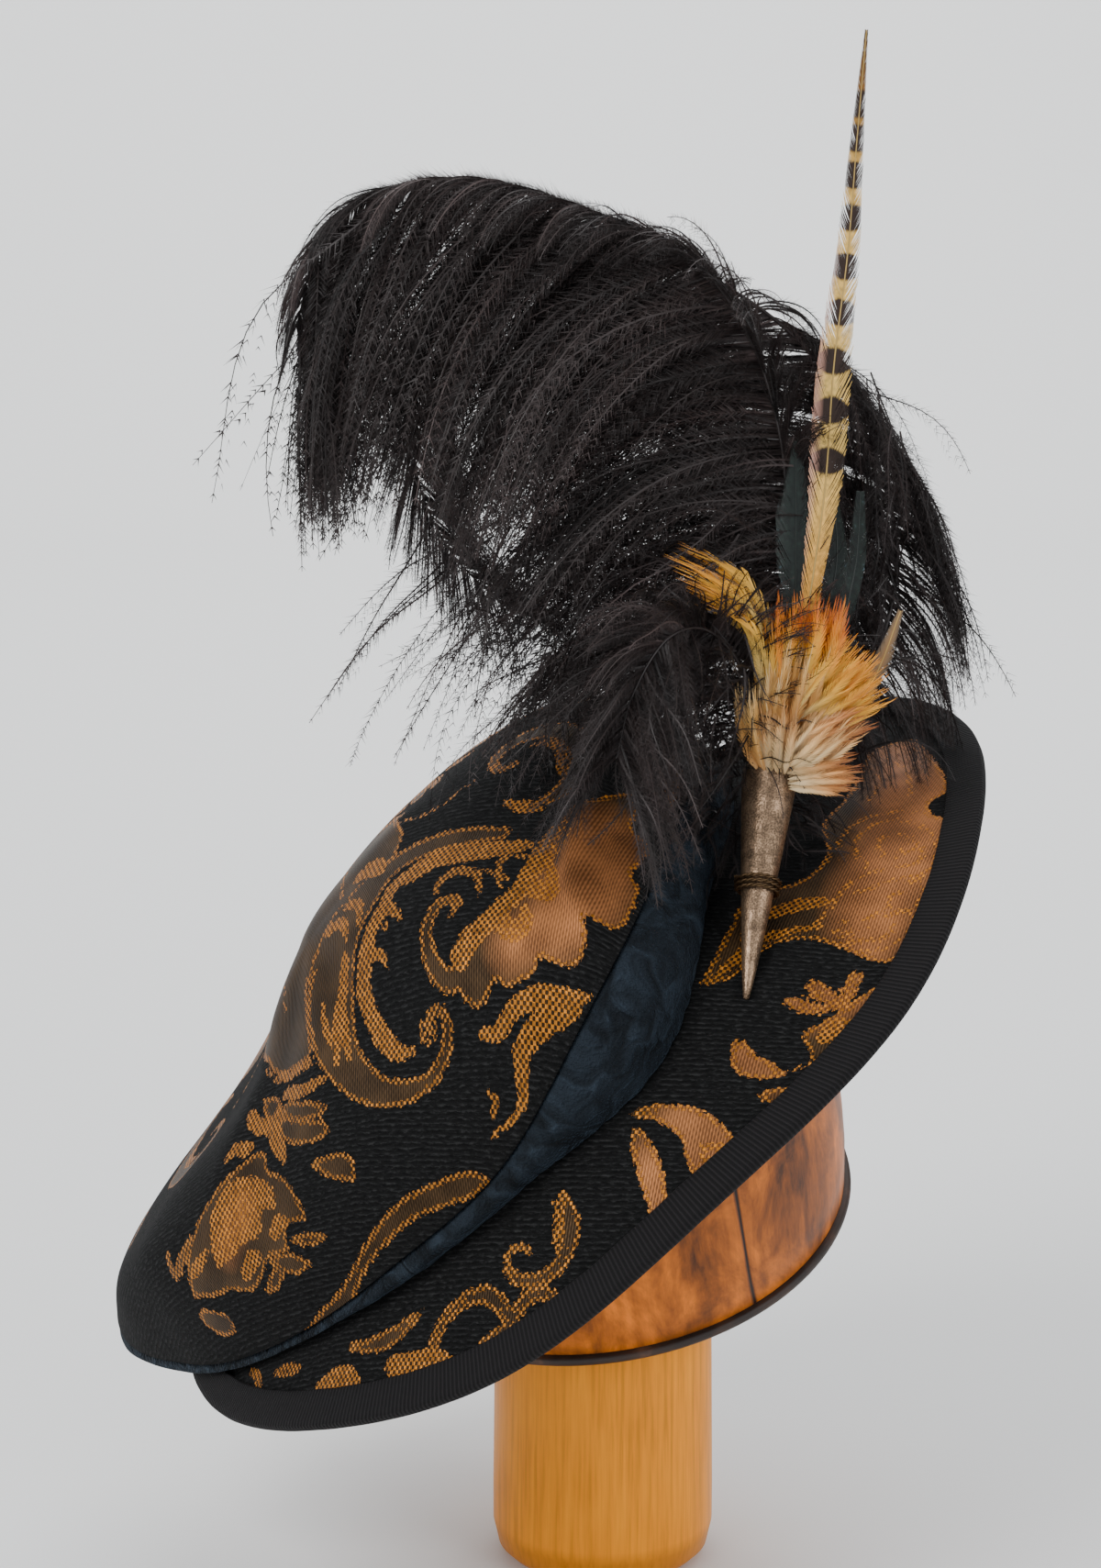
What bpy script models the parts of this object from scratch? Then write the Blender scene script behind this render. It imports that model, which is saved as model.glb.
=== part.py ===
"""A slouched tam o' shanter in brocade, with a bell-shaped brim, ostrich plumes and a bouquet of feathers in a
leather cone, set at a slant on a wooden hat block that stands on a bamboo foot.

Metres, +Z up. The origin is the centre of the bamboo's foot, and the side that shows best faces -Y.
The hat has a frame of its own: +X along its length towards the plumes, +Y to its far side, +Z out of its crown.
Tables and driving sizes are in millimetres and are scaled by MM where the shapes are made."""

import math

import bmesh
import bpy
import numpy as np
from mathutils import Euler, Matrix, Vector

MM = 0.001
GAP = 0.4  # clearance between pieces that touch
DOWN = Vector((0, 0, -1))

# Stand
FOOT_RADIUS = 34
FOOT_CHAMFER = 14
BAMBOO_RADIUS = 44
BAMBOO_TOP_RADIUS = 42
BAMBOO_HEIGHT = 190  # before its rim is cut on the slant
BAMBOO_WALL = 7
BAMBOO_FLOOR = 9
BLOCK_HALF_LENGTH = 98
BLOCK_HALF_WIDTH = 84
BLOCK_SIDE = ((25, 1.02), (50, 1.025), (80, 1.008), (105, 0.972))  # height, and share of the half length there
BLOCK_DOME = 84
BLOCK_SQUARENESS = 2.3
PLATE_THICKNESS = 4
PLATE_LIP = 2.5  # how far the plate stands out past the block
BLOCK_BASE = (0, 26, 136)
BLOCK_TURN = (25.8, -8.6, 0)

# Hat
HAT_CENTRE = (-8.5, -30, 221.5)
HAT_TURN = (3, -40, 15)
RING_STEPS = 48
BRIM_CENTRE = -3  # along the hat's length
BRIM_HALF_LENGTH = 191.5
BRIM_HALF_WIDTH = 161.5
BRIM_RISE = 45  # the head opening lies this far above the brim's edge
BRIM_FLARE = 1.1
BRIM_WALL = 3
BRIM_SHARES = (0, 0.28, 0.55, 0.8, 1)
OPENING_CENTRE = -6
OPENING_HALF_LENGTH = 97
OPENING_HALF_WIDTH = 94
BINDING_DEPTH = 12
BINDING_WALL = 1

BRIM_COLUMNS = ("angle", "lift")
BRIM_ROWS = (
    (0, -2),
    (30, 0),
    (60, -3),
    (90, 0),
    (120, 2),
    (150, 1),
    (180, 2),
    (210, 3.5),
    (240, -4),
    (270, 1.5),
    (300, -4),
    (330, 2),
)

# The crown's outline about its own centre: how far its seam reaches, the seam's height above the brim's edge,
# how far the velvet roll below the seam stands out, and the top's height at shares of the way out.
CROWN_CENTRE = -50
CROWN_TOP = 106
CROWN_WALL = 2
ROLL_WALL = 2
SEAM_GAP = 1.3
CROWN_SHARES = (0, 0.35, 0.7, 0.9, 1)
CROWN_COLUMNS = ("angle", "reach", "seam", "roll", "at90", "at70", "at35")
CROWN_ROWS = (
    (0, 157, 66, 4, 98, 113, 115),
    (30, 147, 57, 4, 84, 100, 108),
    (60, 137, 46, 4, 69, 85, 100),
    (90, 135, 34, 4, 53, 69, 89),
    (120, 153, 20, 3, 32, 46, 75),
    (150, 180, 12, 3, 28, 45, 68),
    (180, 143, 12, 3, 50, 65, 79),
    (210, 118, 20, 3, 48, 68, 86),
    (240, 109, 31, 4, 54, 75, 95),
    (270, 114, 41, 5, 62, 82, 100),
    (300, 135, 68, 6, 87, 101, 111),
    (330, 139, 70, 5, 94, 108, 115),
)
CROWN_STEPS = 8  # rings of the top from its centre to the seam
ROLL_STEPS = 4  # rings of the velvet round the roll, then under it to the head opening
UNDER_STEPS = 3

# Feather mount. The trimming's points are measured from a frame of their own.
TRIM_PLACE = (0, 16.7, -3)
CONE_TIP = (48, -150, 272)
CONE_MOUTH = (58, -100, 341)
CONE_MOUTH_RADIUS = 10
CONE_TIP_RADIUS = 1
CONE_STEP = 0.16  # the rolled leather's overlap, as a share of the radius
CONE_BORE_DEPTH = 0.6
WIRE_RADIUS = 0.7
WIRE_TURNS = 3
WIRE_PITCH = 1.9
WIRE_AT = 0.5  # share of the cone's length, from its tip

PHEASANT_PATH = (
    (66, -100.9, 362), (70, -98.6, 392), (77, -93, 444), (80, -87, 488), (85, -78, 528), (88, -72, 567), (91, -68, 605),
)
PHEASANT_WIDTHS = (5, 7, 12.5, 12.5, 8.5, 5, 1.2)
COCK_FEATHERS = (
    dict(path=((64, -98.6, 372), (67, -96.6, 391), (67, -92, 424), (67, -86, 462)), widths=(4, 12, 16, 2)),
    dict(path=((69, -98.4, 372), (75, -94.8, 390), (82, -88, 416), (81, -82, 444)), widths=(4, 7, 8, 2)),
    dict(path=((73, -97.2, 372), (82, -93, 390), (89, -86, 415), (91, -80, 442)), widths=(4, 6, 7, 3)),
)
TAN_FEATHER_PATH = ((73.4, -103.4, 359), (88, -97, 364), (98, -90, 379), (106, -84, 399))
TAN_FEATHER_WIDTHS = (2, 4, 7, 2)
BLADE_THICKNESS = 1.2

HACKLE_PATH = ((57.4, -103.3, 339), (59.2, -104.2, 348), (66, -107, 360), (71, -108, 374), (76, -107, 388), (79, -105, 398))
HACKLE_RADII = (2, 2.6, 9, 12, 10, 4)
HACKLE_FLATNESS = 0.6  # depth over width
HACKLE_SIDES = 9

# Each plume: a quill through a few points, and locks whose length, spread from the quill and droop run
# between the rows of a short table.
LOCK_COLUMNS = ("at", "inner", "outer", "spread", "droop")
LOCK_STEPS = 3
LOCK_TAPER = (0.85, 0.6, 0.16)
LOCK_THICKNESS = (5, 4, 1.2)
QUILL_ROOT, QUILL_TIP = 2.2, 1.0
PLUMES = (
    dict(
        name="plume_front",
        quill=(
            (59.5, -99.3, 343), (64.5, -95.4, 371), (67, -88, 393), (65, -78, 435), (61, -78, 466), (51, -80, 496),
            (31, -84, 524), (-5, -90, 542), (-47, -98, 554), (-79, -105, 551), (-101, -112, 533), (-109, -118, 506),
        ),
        locks=24,
        rows=(
            (0.15, 60, 14, 52, 0.30),
            (0.35, 105, 14, 50, 0.42),
            (0.55, 135, 11, 46, 0.55),
            (0.75, 112, 13, 40, 0.60),
            (1.0, 44, 26, 26, 0.75),
        ),
    ),
    dict(
        name="plume_back",
        quill=(
            (62.5, -94.8, 344), (73, -82, 350), (97, -48, 367), (110, -25, 406), (101, -15, 447), (78, -10, 483), (45, -10, 509),
            (0, -15, 527), (-42, -25, 520), (-68, -35, 487), (-71, -45, 447), (-59, -52, 417), (-38, -60, 396),
        ),
        locks=26,
        rows=(
            (0.08, 30, 28, 60, 0.12),
            (0.25, 70, 16, 46, 0.2),
            (0.5, 70, 18, 36, 0.4),
            (0.75, 56, 60, 36, 0.5),
            (1.0, 34, 30, 26, 0.4),
        ),
    ),
    dict(
        name="plume_low",
        quill=((54.4, -98.5, 345), (49, -101, 378), (35, -112, 397), (20, -128, 397), (8, -140, 380), (2, -146, 358)),
        locks=11,
        rows=(
            (0.15, 22, 18, 60, 0.35),
            (0.5, 66, 26, 50, 0.6),
            (1.0, 62, 40, 24, 0.7),
        ),
    ),
)

# name: sRGB colour, roughness, metallic
FINISHES = {
    "brocade": ((0.16, 0.11, 0.06), 0.7, 0.1),
    "velvet": ((0.05, 0.06, 0.08), 0.9, 0.0),
    "ribbon": ((0.07, 0.07, 0.08), 0.75, 0.0),
    "plume": ((0.12, 0.10, 0.10), 0.8, 0.0),
    "pheasant": ((0.80, 0.62, 0.35), 0.6, 0.0),
    "cock": ((0.10, 0.17, 0.15), 0.35, 0.0),
    "hackle": ((0.88, 0.60, 0.25), 0.7, 0.0),
    "bronze_leather": ((0.45, 0.38, 0.31), 0.4, 0.6),
    "wire": ((0.35, 0.28, 0.20), 0.35, 0.9),
    "block_wood": ((0.45, 0.24, 0.10), 0.45, 0.0),
    "plate_wood": ((0.16, 0.09, 0.05), 0.5, 0.0),
    "bamboo": ((0.83, 0.52, 0.18), 0.35, 0.0),
}


def clear_scene():
    for leftover in list(bpy.data.objects):
        bpy.data.objects.remove(leftover)


def new_collection(name):
    collection = bpy.data.collections.new(name)
    bpy.context.scene.collection.children.link(collection)
    return collection


def finish_material(finish):
    material = bpy.data.materials.get(finish)
    if material is None:
        colour, roughness, metallic = FINISHES[finish]
        material = bpy.data.materials.new(finish)
        material.use_nodes = True
        shader = material.node_tree.nodes["Principled BSDF"]
        linear = [pow(channel, 2.2) for channel in colour]
        shader.inputs["Base Color"].default_value = (*linear, 1)
        shader.inputs["Roughness"].default_value = roughness
        shader.inputs["Metallic"].default_value = metallic
    return material


def new_part(name, mesh, finish, parent=None):
    """An object in the hat's collection, smooth-shaded, under the empty it is placed by."""
    part = bpy.data.objects.new(name, mesh)
    parts_collection.objects.link(part)
    part.parent = parent
    mesh.materials.clear()
    mesh.materials.append(finish_material(finish))
    mesh.shade_smooth()
    mesh.set_sharp_from_angle(angle=math.radians(40))
    return part


def mesh_from(bm, name):
    mesh = bpy.data.meshes.new(name)
    bm.to_mesh(mesh)
    bm.free()
    return mesh


def new_frame(name, place, turn):
    empty = bpy.data.objects.new(name, None)
    parts_collection.objects.link(empty)
    empty.location = Vector(place) * MM
    empty.rotation_euler = [math.radians(angle) for angle in turn]
    return empty


def named_row(columns, row):
    return dict(zip(columns, row))


def around(columns, rows, angle):
    """The table's values at this angle, smooth and closed round the ring. Its rows are evenly spaced in angle."""
    place = angle / 360 * len(rows)
    first = math.floor(place)
    t = place - first
    before, start, end, after = (np.array(rows[(first + k) % len(rows)][1:], float) for k in (-1, 0, 1, 2))
    bend = 2 * before - 5 * start + 4 * end - after
    turn = 3 * (start - end) + after - before
    values = start + 0.5 * t * (end - before + t * (bend + t * turn))
    return named_row(columns[1:], values)


def along(columns, rows, share):
    """The table's values at this share of the way, straight between its rows."""
    places = [row[0] for row in rows]
    return {name: float(np.interp(share, places, [row[k] for row in rows])) for k, name in enumerate(columns) if k}


def smooth_path(points, count):
    """Count points on one smooth curve through the given ones, evenly spaced along it."""
    points = [Vector(point) for point in points]
    ends = [2 * points[0] - points[1], *points, 2 * points[-1] - points[-2]]
    fine = []
    pieces = 12
    for before, start, end, after in zip(ends, ends[1:], ends[2:], ends[3:]):
        for k in range(pieces):
            t = k / pieces
            bend = 2 * before - 5 * start + 4 * end - after
            turn = 3 * (start - end) + after - before
            fine.append(start + 0.5 * t * (end - before + t * (bend + t * turn)))
    fine.append(points[-1])
    lengths = np.cumsum([0] + [(b - a).length for a, b in zip(fine, fine[1:])])
    wanted = np.linspace(0, lengths[-1], count)
    axes = [np.interp(wanted, lengths, [point[axis] for point in fine]) for axis in range(3)]
    return [Vector(point) for point in zip(*axes)]


def nearest(points, target):
    """The place in a list of points of the one nearest to the target."""
    return min(range(len(points)), key=lambda k: (points[k] - target).length)


def brim_oval(share):
    """The centre, half length and half width of the brim at a share of the way from the head opening to the edge."""
    centre = OPENING_CENTRE + (BRIM_CENTRE - OPENING_CENTRE) * share
    half_length = OPENING_HALF_LENGTH + (BRIM_HALF_LENGTH - OPENING_HALF_LENGTH) * share
    half_width = OPENING_HALF_WIDTH + (BRIM_HALF_WIDTH - OPENING_HALF_WIDTH) * share
    return centre, half_length, half_width


def brim_point(angle, share):
    """A point of the brim's upper face."""
    centre, half_length, half_width = brim_oval(share)
    turn = math.radians(angle)
    height = BRIM_RISE * (1 - share) ** BRIM_FLARE + around(BRIM_COLUMNS, BRIM_ROWS, angle)["lift"] * share**2
    return Vector((centre + half_length * math.cos(turn), half_width * math.sin(turn), height))


def brim_share(x, y):
    """The angle and share of the brim under a point of the plan. Past the edge the share stays 1."""
    low, high = 0.0, 1.0
    for _ in range(24):
        share = (low + high) / 2
        centre, half_length, half_width = brim_oval(share)
        across = (x - centre) / half_length
        outside = across**2 + (y / half_width) ** 2 > 1
        low, high = (share, high) if outside else (low, share)
    return math.degrees(math.atan2(y / half_width, across)) % 360, share


def seat_height(x, y):
    """How high the crown's velvet lies over a point of the plan: just clear of the brim, then of its binding."""
    angle, share = brim_share(x, y)
    over_binding = min(1, max(0, (share - 0.75) / 0.15))
    return brim_point(angle, share).z + 0.8 + 1.7 * over_binding


def crown_section(angle):
    """The crown's section at this angle, as a smooth curve from the top's centre over the seam and round the
    velvet roll to where the roll meets the brim. Returns its points and the share of them that is brocade."""
    row = around(CROWN_COLUMNS, CROWN_ROWS, angle)
    turn = math.radians(angle)
    reach, foot = row["reach"], 0.0
    foot = seat_height(CROWN_CENTRE + (reach - 2) * math.cos(turn), (reach - 2) * math.sin(turn))
    outline = [
        (0, CROWN_TOP),
        (CROWN_SHARES[1] * reach, row["at35"]),
        (CROWN_SHARES[2] * reach, row["at70"]),
        (CROWN_SHARES[3] * reach, row["at90"]),
        (reach, row["seam"]),
        (reach + row["roll"] * 0.6, foot + 0.45 * (row["seam"] - foot)),
        (reach - 2, foot),
    ]
    return [Vector((CROWN_CENTRE + r * math.cos(turn), r * math.sin(turn), h)) for r, h in outline]


def opening_point(angle, clear):
    """A point of the head opening's rim, clear millimetres outside it."""
    turn = math.radians(angle)
    x = OPENING_CENTRE + (OPENING_HALF_LENGTH + clear) * math.cos(turn)
    y = (OPENING_HALF_WIDTH + clear) * math.sin(turn)
    return Vector((x, y, seat_height(x, y)))


def loft(name, rings, closed_ring=True):
    """An open surface through rings of points, which all hold the same number of points."""
    bm = bmesh.new()
    rows = [[bm.verts.new(point * MM) for point in ring] for ring in rings]
    count = len(rows[0])
    for upper, lower in zip(rows, rows[1:]):
        for k in range(count if closed_ring else count - 1):
            after = (k + 1) % count
            bm.faces.new((upper[k], upper[after], lower[after], lower[k]))
    bmesh.ops.recalc_face_normals(bm, faces=bm.faces)
    return bm


def thicken(part, wall):
    """Gives an open surface its wall, on the side away from its normals."""
    shell = part.modifiers.new("wall", "SOLIDIFY")
    shell.thickness = wall * MM
    shell.offset = -1
    return shell


def face_up(bm, direction):
    """Turns the surface round if its faces look against the given direction on the whole."""
    total = sum((face.normal * face.calc_area() for face in bm.faces), Vector())
    if total.dot(Vector(direction)) < 0:
        bmesh.ops.reverse_faces(bm, faces=bm.faces)


def ring_angles():
    return [360 * k / RING_STEPS for k in range(RING_STEPS)]


def make_brim(hat):
    rings = [[brim_point(angle, share) for angle in ring_angles()] for share in BRIM_SHARES]
    bm = loft("brim", rings)
    face_up(bm, (0, 0, 1))
    thicken(new_part("brim", mesh_from(bm, "brim"), "brocade", hat), BRIM_WALL)


def make_binding(hat):
    """A ribbon folded over the brim's edge: a hooked section swept round it."""
    inner = BRIM_WALL / 2 + GAP
    outer = inner + BINDING_WALL
    section = (
        (-BINDING_DEPTH, outer),
        (GAP, outer),
        (GAP + 1.6, 0),
        (GAP, -outer),
        (-BINDING_DEPTH, -outer),
        (-BINDING_DEPTH, -inner),
        (GAP, -inner),
        (GAP, inner),
        (-BINDING_DEPTH, inner),
    )
    columns = []
    for angle in ring_angles():
        edge = brim_point(angle, 1)
        outward = (edge - brim_point(angle, BRIM_SHARES[-2])).normalized()
        run = (brim_point(angle + 1, 1) - brim_point(angle - 1, 1)).normalized()
        upward = outward.cross(run).normalized()
        middle = edge - upward * BRIM_WALL / 2
        columns.append([middle + outward * out + upward * up for out, up in section])
    bm = loft("brim_binding", columns)
    first, last = bm.verts[: len(section)], bm.verts[-len(section) :]
    for k in range(len(section)):
        after = (k + 1) % len(section)
        bm.faces.new((last[k], last[after], first[after], first[k]))
    bmesh.ops.recalc_face_normals(bm, faces=bm.faces)
    new_part("brim_binding", mesh_from(bm, "brim_binding"), "ribbon", hat)


def make_crown(hat):
    """The brocade top, and the velvet that rolls under it from the seam and runs in to the head opening."""
    top_columns, band_columns = [], []
    for angle in ring_angles():
        section = crown_section(angle)
        top = smooth_path(section[:6], 400)
        seam = nearest(top, section[4])
        top_columns.append([top[round(seam * (k / CROWN_STEPS) ** 0.85)] for k in range(1, CROWN_STEPS + 1)])
        roll = smooth_path([section[3], *section[4:7]], 300)
        start = nearest(roll, section[4])
        while (roll[start] - section[4]).length < SEAM_GAP:
            start += 1
        around_roll = [roll[round(start + (len(roll) - 1 - start) * k / ROLL_STEPS)] for k in range(ROLL_STEPS + 1)]
        foot = around_roll[-1]
        foot_angle, _ = brim_share(foot.x, foot.y)
        rim = opening_point(foot_angle, 2)
        under = []
        for k in range(1, UNDER_STEPS + 1):
            point = foot.lerp(rim, k / UNDER_STEPS)
            under.append(Vector((point.x, point.y, seat_height(point.x, point.y))))
        band_columns.append(around_roll + under)
    bm = loft("crown_top", list(zip(*top_columns)))
    centre = bm.verts.new(Vector((CROWN_CENTRE, 0, CROWN_TOP)) * MM)
    bm.verts.ensure_lookup_table()
    first = bm.verts[:RING_STEPS]
    for k in range(RING_STEPS):
        bm.faces.new((centre, first[k], first[(k + 1) % RING_STEPS]))
    bmesh.ops.recalc_face_normals(bm, faces=bm.faces)
    face_up(bm, (0, 0, 1))
    thicken(new_part("crown_top", mesh_from(bm, "crown_top"), "brocade", hat), CROWN_WALL)
    bm = loft("crown_band", list(zip(*band_columns)))
    face_up(bm, (0, 0, -1))
    thicken(new_part("crown_band", mesh_from(bm, "crown_band"), "velvet", hat), ROLL_WALL)


def turned(name, profile, finish, steps=36):
    """A body turned from a profile of (radius, height) points."""
    bm = bmesh.new()
    points = [bm.verts.new(Vector((radius, 0, height)) * MM) for radius, height in profile]
    for start, end in zip(points, points[1:]):
        bm.edges.new((start, end))
    part = new_part(name, mesh_from(bm, name), finish)
    turn = part.modifiers.new("turn", "SCREW")
    turn.steps = turn.render_steps = steps
    turn.use_merge_vertices = True
    turn.merge_threshold = 0.0001
    turn.use_smooth_shade = True
    return part


def make_block(stand):
    """The oval hat block, and the thin plate under it."""
    shoulder, shoulder_share = BLOCK_SIDE[-1]
    dome = []
    for k in range(8):
        turn = math.radians(90 * k / 8)
        out = math.sin(turn) ** (2 / BLOCK_SQUARENESS)
        up = math.cos(turn) ** (2 / BLOCK_SQUARENESS)
        dome.append((BLOCK_HALF_LENGTH * shoulder_share * out, shoulder + BLOCK_DOME * up))
    side = [(BLOCK_HALF_LENGTH * share, height) for height, share in reversed(BLOCK_SIDE)]
    base = PLATE_THICKNESS + GAP
    block = turned("hat_block", [*dome, *side, (BLOCK_HALF_LENGTH, base), (0, base)], "block_wood")
    lip = BLOCK_HALF_LENGTH + PLATE_LIP
    plate = turned("block_plate", [(0, PLATE_THICKNESS), (lip, PLATE_THICKNESS), (lip, 0), (0, 0)], "plate_wood")
    for part in (block, plate):
        part.parent = stand
        part.scale.y = BLOCK_HALF_WIDTH / BLOCK_HALF_LENGTH


def make_bamboo(stand):
    """A bamboo cup whose rim is cut on the slant to seat the block's plate."""
    inside = BAMBOO_RADIUS - BAMBOO_WALL
    profile = [
        (0, BAMBOO_FLOOR),
        (inside, BAMBOO_FLOOR),
        (BAMBOO_TOP_RADIUS - BAMBOO_WALL, BAMBOO_HEIGHT),
        (BAMBOO_TOP_RADIUS, BAMBOO_HEIGHT),
        (BAMBOO_RADIUS, FOOT_CHAMFER + 16),
        (BAMBOO_RADIUS, FOOT_CHAMFER),
        (FOOT_RADIUS + 8, 5),
        (FOOT_RADIUS + 4.5, 1.5),
        (FOOT_RADIUS, 0),
        (0, 0),
    ]
    cup = turned("bamboo_stand", profile, "bamboo")
    side = 400 * MM
    bm = bmesh.new()
    bmesh.ops.create_cube(bm, size=side)
    bmesh.ops.translate(bm, verts=bm.verts, vec=(0, 0, side / 2 - GAP * MM))
    cutter = bpy.data.objects.new("rim_cutter", mesh_from(bm, "rim_cutter"))
    cutters_collection.objects.link(cutter)
    cutter.parent = stand
    cutter.hide_render = True
    cutter.display_type = "WIRE"
    cut = cup.modifiers.new("rim", "BOOLEAN")
    cut.operation = "DIFFERENCE"
    cut.object = cutter


def tube(name, points, radius, finish, parent, resolution=2):
    curve = bpy.data.curves.new(name, "CURVE")
    curve.dimensions = "3D"
    curve.bevel_depth = radius * MM
    curve.bevel_resolution = resolution
    curve.use_fill_caps = True
    spline = curve.splines.new("POLY")
    spline.points.add(len(points) - 1)
    for slot, point in zip(spline.points, points):
        slot.co = (*(Vector(point) * MM), 1)
    part = bpy.data.objects.new(name, curve)
    parts_collection.objects.link(part)
    part.parent = parent
    curve.materials.append(finish_material(finish))
    return part


def cone_radius(share):
    return CONE_TIP_RADIUS + (CONE_MOUTH_RADIUS - CONE_TIP_RADIUS) * share**0.85


def cone_axes():
    tip, mouth = Vector(CONE_TIP), Vector(CONE_MOUTH)
    axis = (mouth - tip).normalized()
    side = axis.cross(Vector((0, 1, 0))).normalized()
    return tip, mouth - tip, side, axis.cross(side)


def make_cone(trim):
    """Leather rolled to a cone: a section with one step, where the sheet overlaps, and a bore at its mouth."""
    tip, length, side, front = cone_axes()
    sides, rings = 18, []
    for share in (0, 0.15, 0.35, 0.6, 0.8, 1):
        ring = []
        for k in range(sides):
            turn = 2 * math.pi * k / sides
            radius = cone_radius(share) * (1 + CONE_STEP * (k / (sides - 1) - 0.5))
            ring.append(tip + length * share + side * radius * math.cos(turn) + front * radius * math.sin(turn))
        rings.append(ring)
    bm = loft("cone", rings)
    bmesh.ops.holes_fill(bm, edges=[edge for edge in bm.edges if edge.is_boundary])
    bmesh.ops.recalc_face_normals(bm, faces=bm.faces)
    cone = new_part("cone", mesh_from(bm, "cone"), "bronze_leather", trim)
    bm = bmesh.new()
    bore_length = length.length * CONE_BORE_DEPTH
    bmesh.ops.create_cone(
        bm, cap_ends=True, segments=16, radius1=cone_radius(1 - CONE_BORE_DEPTH) * 0.5 * MM,
        radius2=(CONE_MOUTH_RADIUS - 1.9) * MM, depth=bore_length * MM,
    )
    place = tip + length * (1.02 - CONE_BORE_DEPTH / 2)
    turn = length.to_track_quat("Z", "Y").to_matrix().to_4x4()
    bmesh.ops.transform(bm, verts=bm.verts, matrix=Matrix.Translation(place * MM) @ turn)
    cutter = bpy.data.objects.new("cone_bore", mesh_from(bm, "cone_bore"))
    cutters_collection.objects.link(cutter)
    cutter.parent = trim
    cutter.hide_render = True
    cutter.display_type = "WIRE"
    cut = cone.modifiers.new("bore", "BOOLEAN")
    cut.operation = "DIFFERENCE"
    cut.object = cutter


def make_wire(trim):
    """The wire wound three times round the cone."""
    tip, length, side, front = cone_axes()
    per_turn = 14
    points = []
    for k in range(WIRE_TURNS * per_turn + 1):
        turn = 2 * math.pi * k / per_turn
        share = WIRE_AT + (k / per_turn - WIRE_TURNS / 2) * WIRE_PITCH / length.length
        radius = cone_radius(share) * (1 + CONE_STEP / 2) + WIRE_RADIUS + GAP
        points.append(tip + length * share + side * radius * math.cos(turn) + front * radius * math.sin(turn))
    tube("cone_wire", points, WIRE_RADIUS, "wire", trim, resolution=1)


def make_blade(name, path, widths, finish, trim, facing=(0, -1, 0.1), segments=10):
    """A feather with a ridge along its quill, wide across and thin from front to back."""
    points = smooth_path(path, segments + 1)
    facing = Vector(facing).normalized()
    rings = []
    for k, point in enumerate(points):
        share = k / segments
        width = float(np.interp(share, np.linspace(0, 1, len(widths)), widths))
        ahead = points[min(k + 1, segments)] - points[max(k - 1, 0)]
        across = ahead.cross(facing).normalized() * width / 2
        depth = facing * BLADE_THICKNESS / 2 * (1 - 0.6 * share)
        rings.append([point + across, point + depth, point - across, point - depth])
    bm = loft(name, rings)
    bmesh.ops.holes_fill(bm, edges=[edge for edge in bm.edges if edge.is_boundary])
    bmesh.ops.recalc_face_normals(bm, faces=bm.faces)
    new_part(name, mesh_from(bm, name), finish, trim)


def corner_sides(face, across, facing):
    """For each corner of a four-sided face, the side of it that the corner is on: across, then facing."""
    by_facing = sorted(face.verts, key=lambda corner: corner.co.dot(facing))
    sides = {}
    for facing_side, pair in ((-1, by_facing[:2]), (1, by_facing[2:])):
        low, high = sorted(pair, key=lambda corner: corner.co.dot(across))
        sides[low] = (-1, facing_side)
        sides[high] = (1, facing_side)
    return [sides[corner] for corner in face.verts]


def grow_lock(bm, face, sides, heading, facing, length, width, droop, thickness=LOCK_THICKNESS):
    """Draws one face of a backing out into a lock of barbs that bends down and tapers to a point."""
    centre = face.calc_center_median()
    for taper, thick in zip(LOCK_TAPER, thickness):
        heading = (heading + DOWN * droop / LOCK_STEPS).normalized()
        across = facing.cross(heading).normalized()
        centre = centre + heading * length * MM / LOCK_STEPS
        face = bmesh.ops.extrude_discrete_faces(bm, faces=[face])["faces"][0]
        for (a, b), corner in zip(sides, face.verts):
            corner.co = centre + (across * a * width * taper + facing * b * thick) / 2 * MM


def make_plume(name, quill, locks, rows, trim, facing=(0, -1, 0.15)):
    """A quill with a lock on each side at every other step along it."""
    steps = 2 * locks
    points = smooth_path(quill, steps + 1)
    facing = Vector(facing).normalized()
    rings = []
    for k, point in enumerate(points):
        ahead = (points[min(k + 1, steps)] - points[max(k - 1, 0)]).normalized()
        side = facing.cross(ahead).normalized()
        half = QUILL_ROOT + (QUILL_TIP - QUILL_ROOT) * k / steps
        front = ahead.cross(side).normalized()
        rings.append([point + side * a * half + front * b * half for a, b in ((1, 1), (1, -1), (-1, -1), (-1, 1))])
    bm = loft(name, rings)
    bmesh.ops.holes_fill(bm, edges=[edge for edge in bm.edges if edge.is_boundary])
    bmesh.ops.recalc_face_normals(bm, faces=bm.faces)
    bm.faces.ensure_lookup_table()
    walls = list(bm.faces)[: 4 * steps]
    for k in range(1, steps, 2):
        share = k / steps
        row = along(LOCK_COLUMNS, rows, share)
        if share < rows[0][0]:
            continue
        ahead = (points[k + 1] - points[k]).normalized()
        inner_side = facing.cross(ahead).normalized()
        spread = math.radians(row["spread"])
        pitch = (points[k + 1] - points[k]).length
        for side, wall, length in ((inner_side, 0, row["inner"]), (-inner_side, 2, row["outer"])):
            heading = ahead * math.cos(spread) + side * math.sin(spread)
            face = walls[4 * k + wall]
            corners = corner_sides(face, ahead if wall else -ahead, ahead.cross(inner_side))
            grow_lock(bm, face, corners, heading, facing, length, pitch * 1.5, row["droop"])
    bmesh.ops.recalc_face_normals(bm, faces=bm.faces)
    new_part(name, mesh_from(bm, name), "plume", trim)


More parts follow.
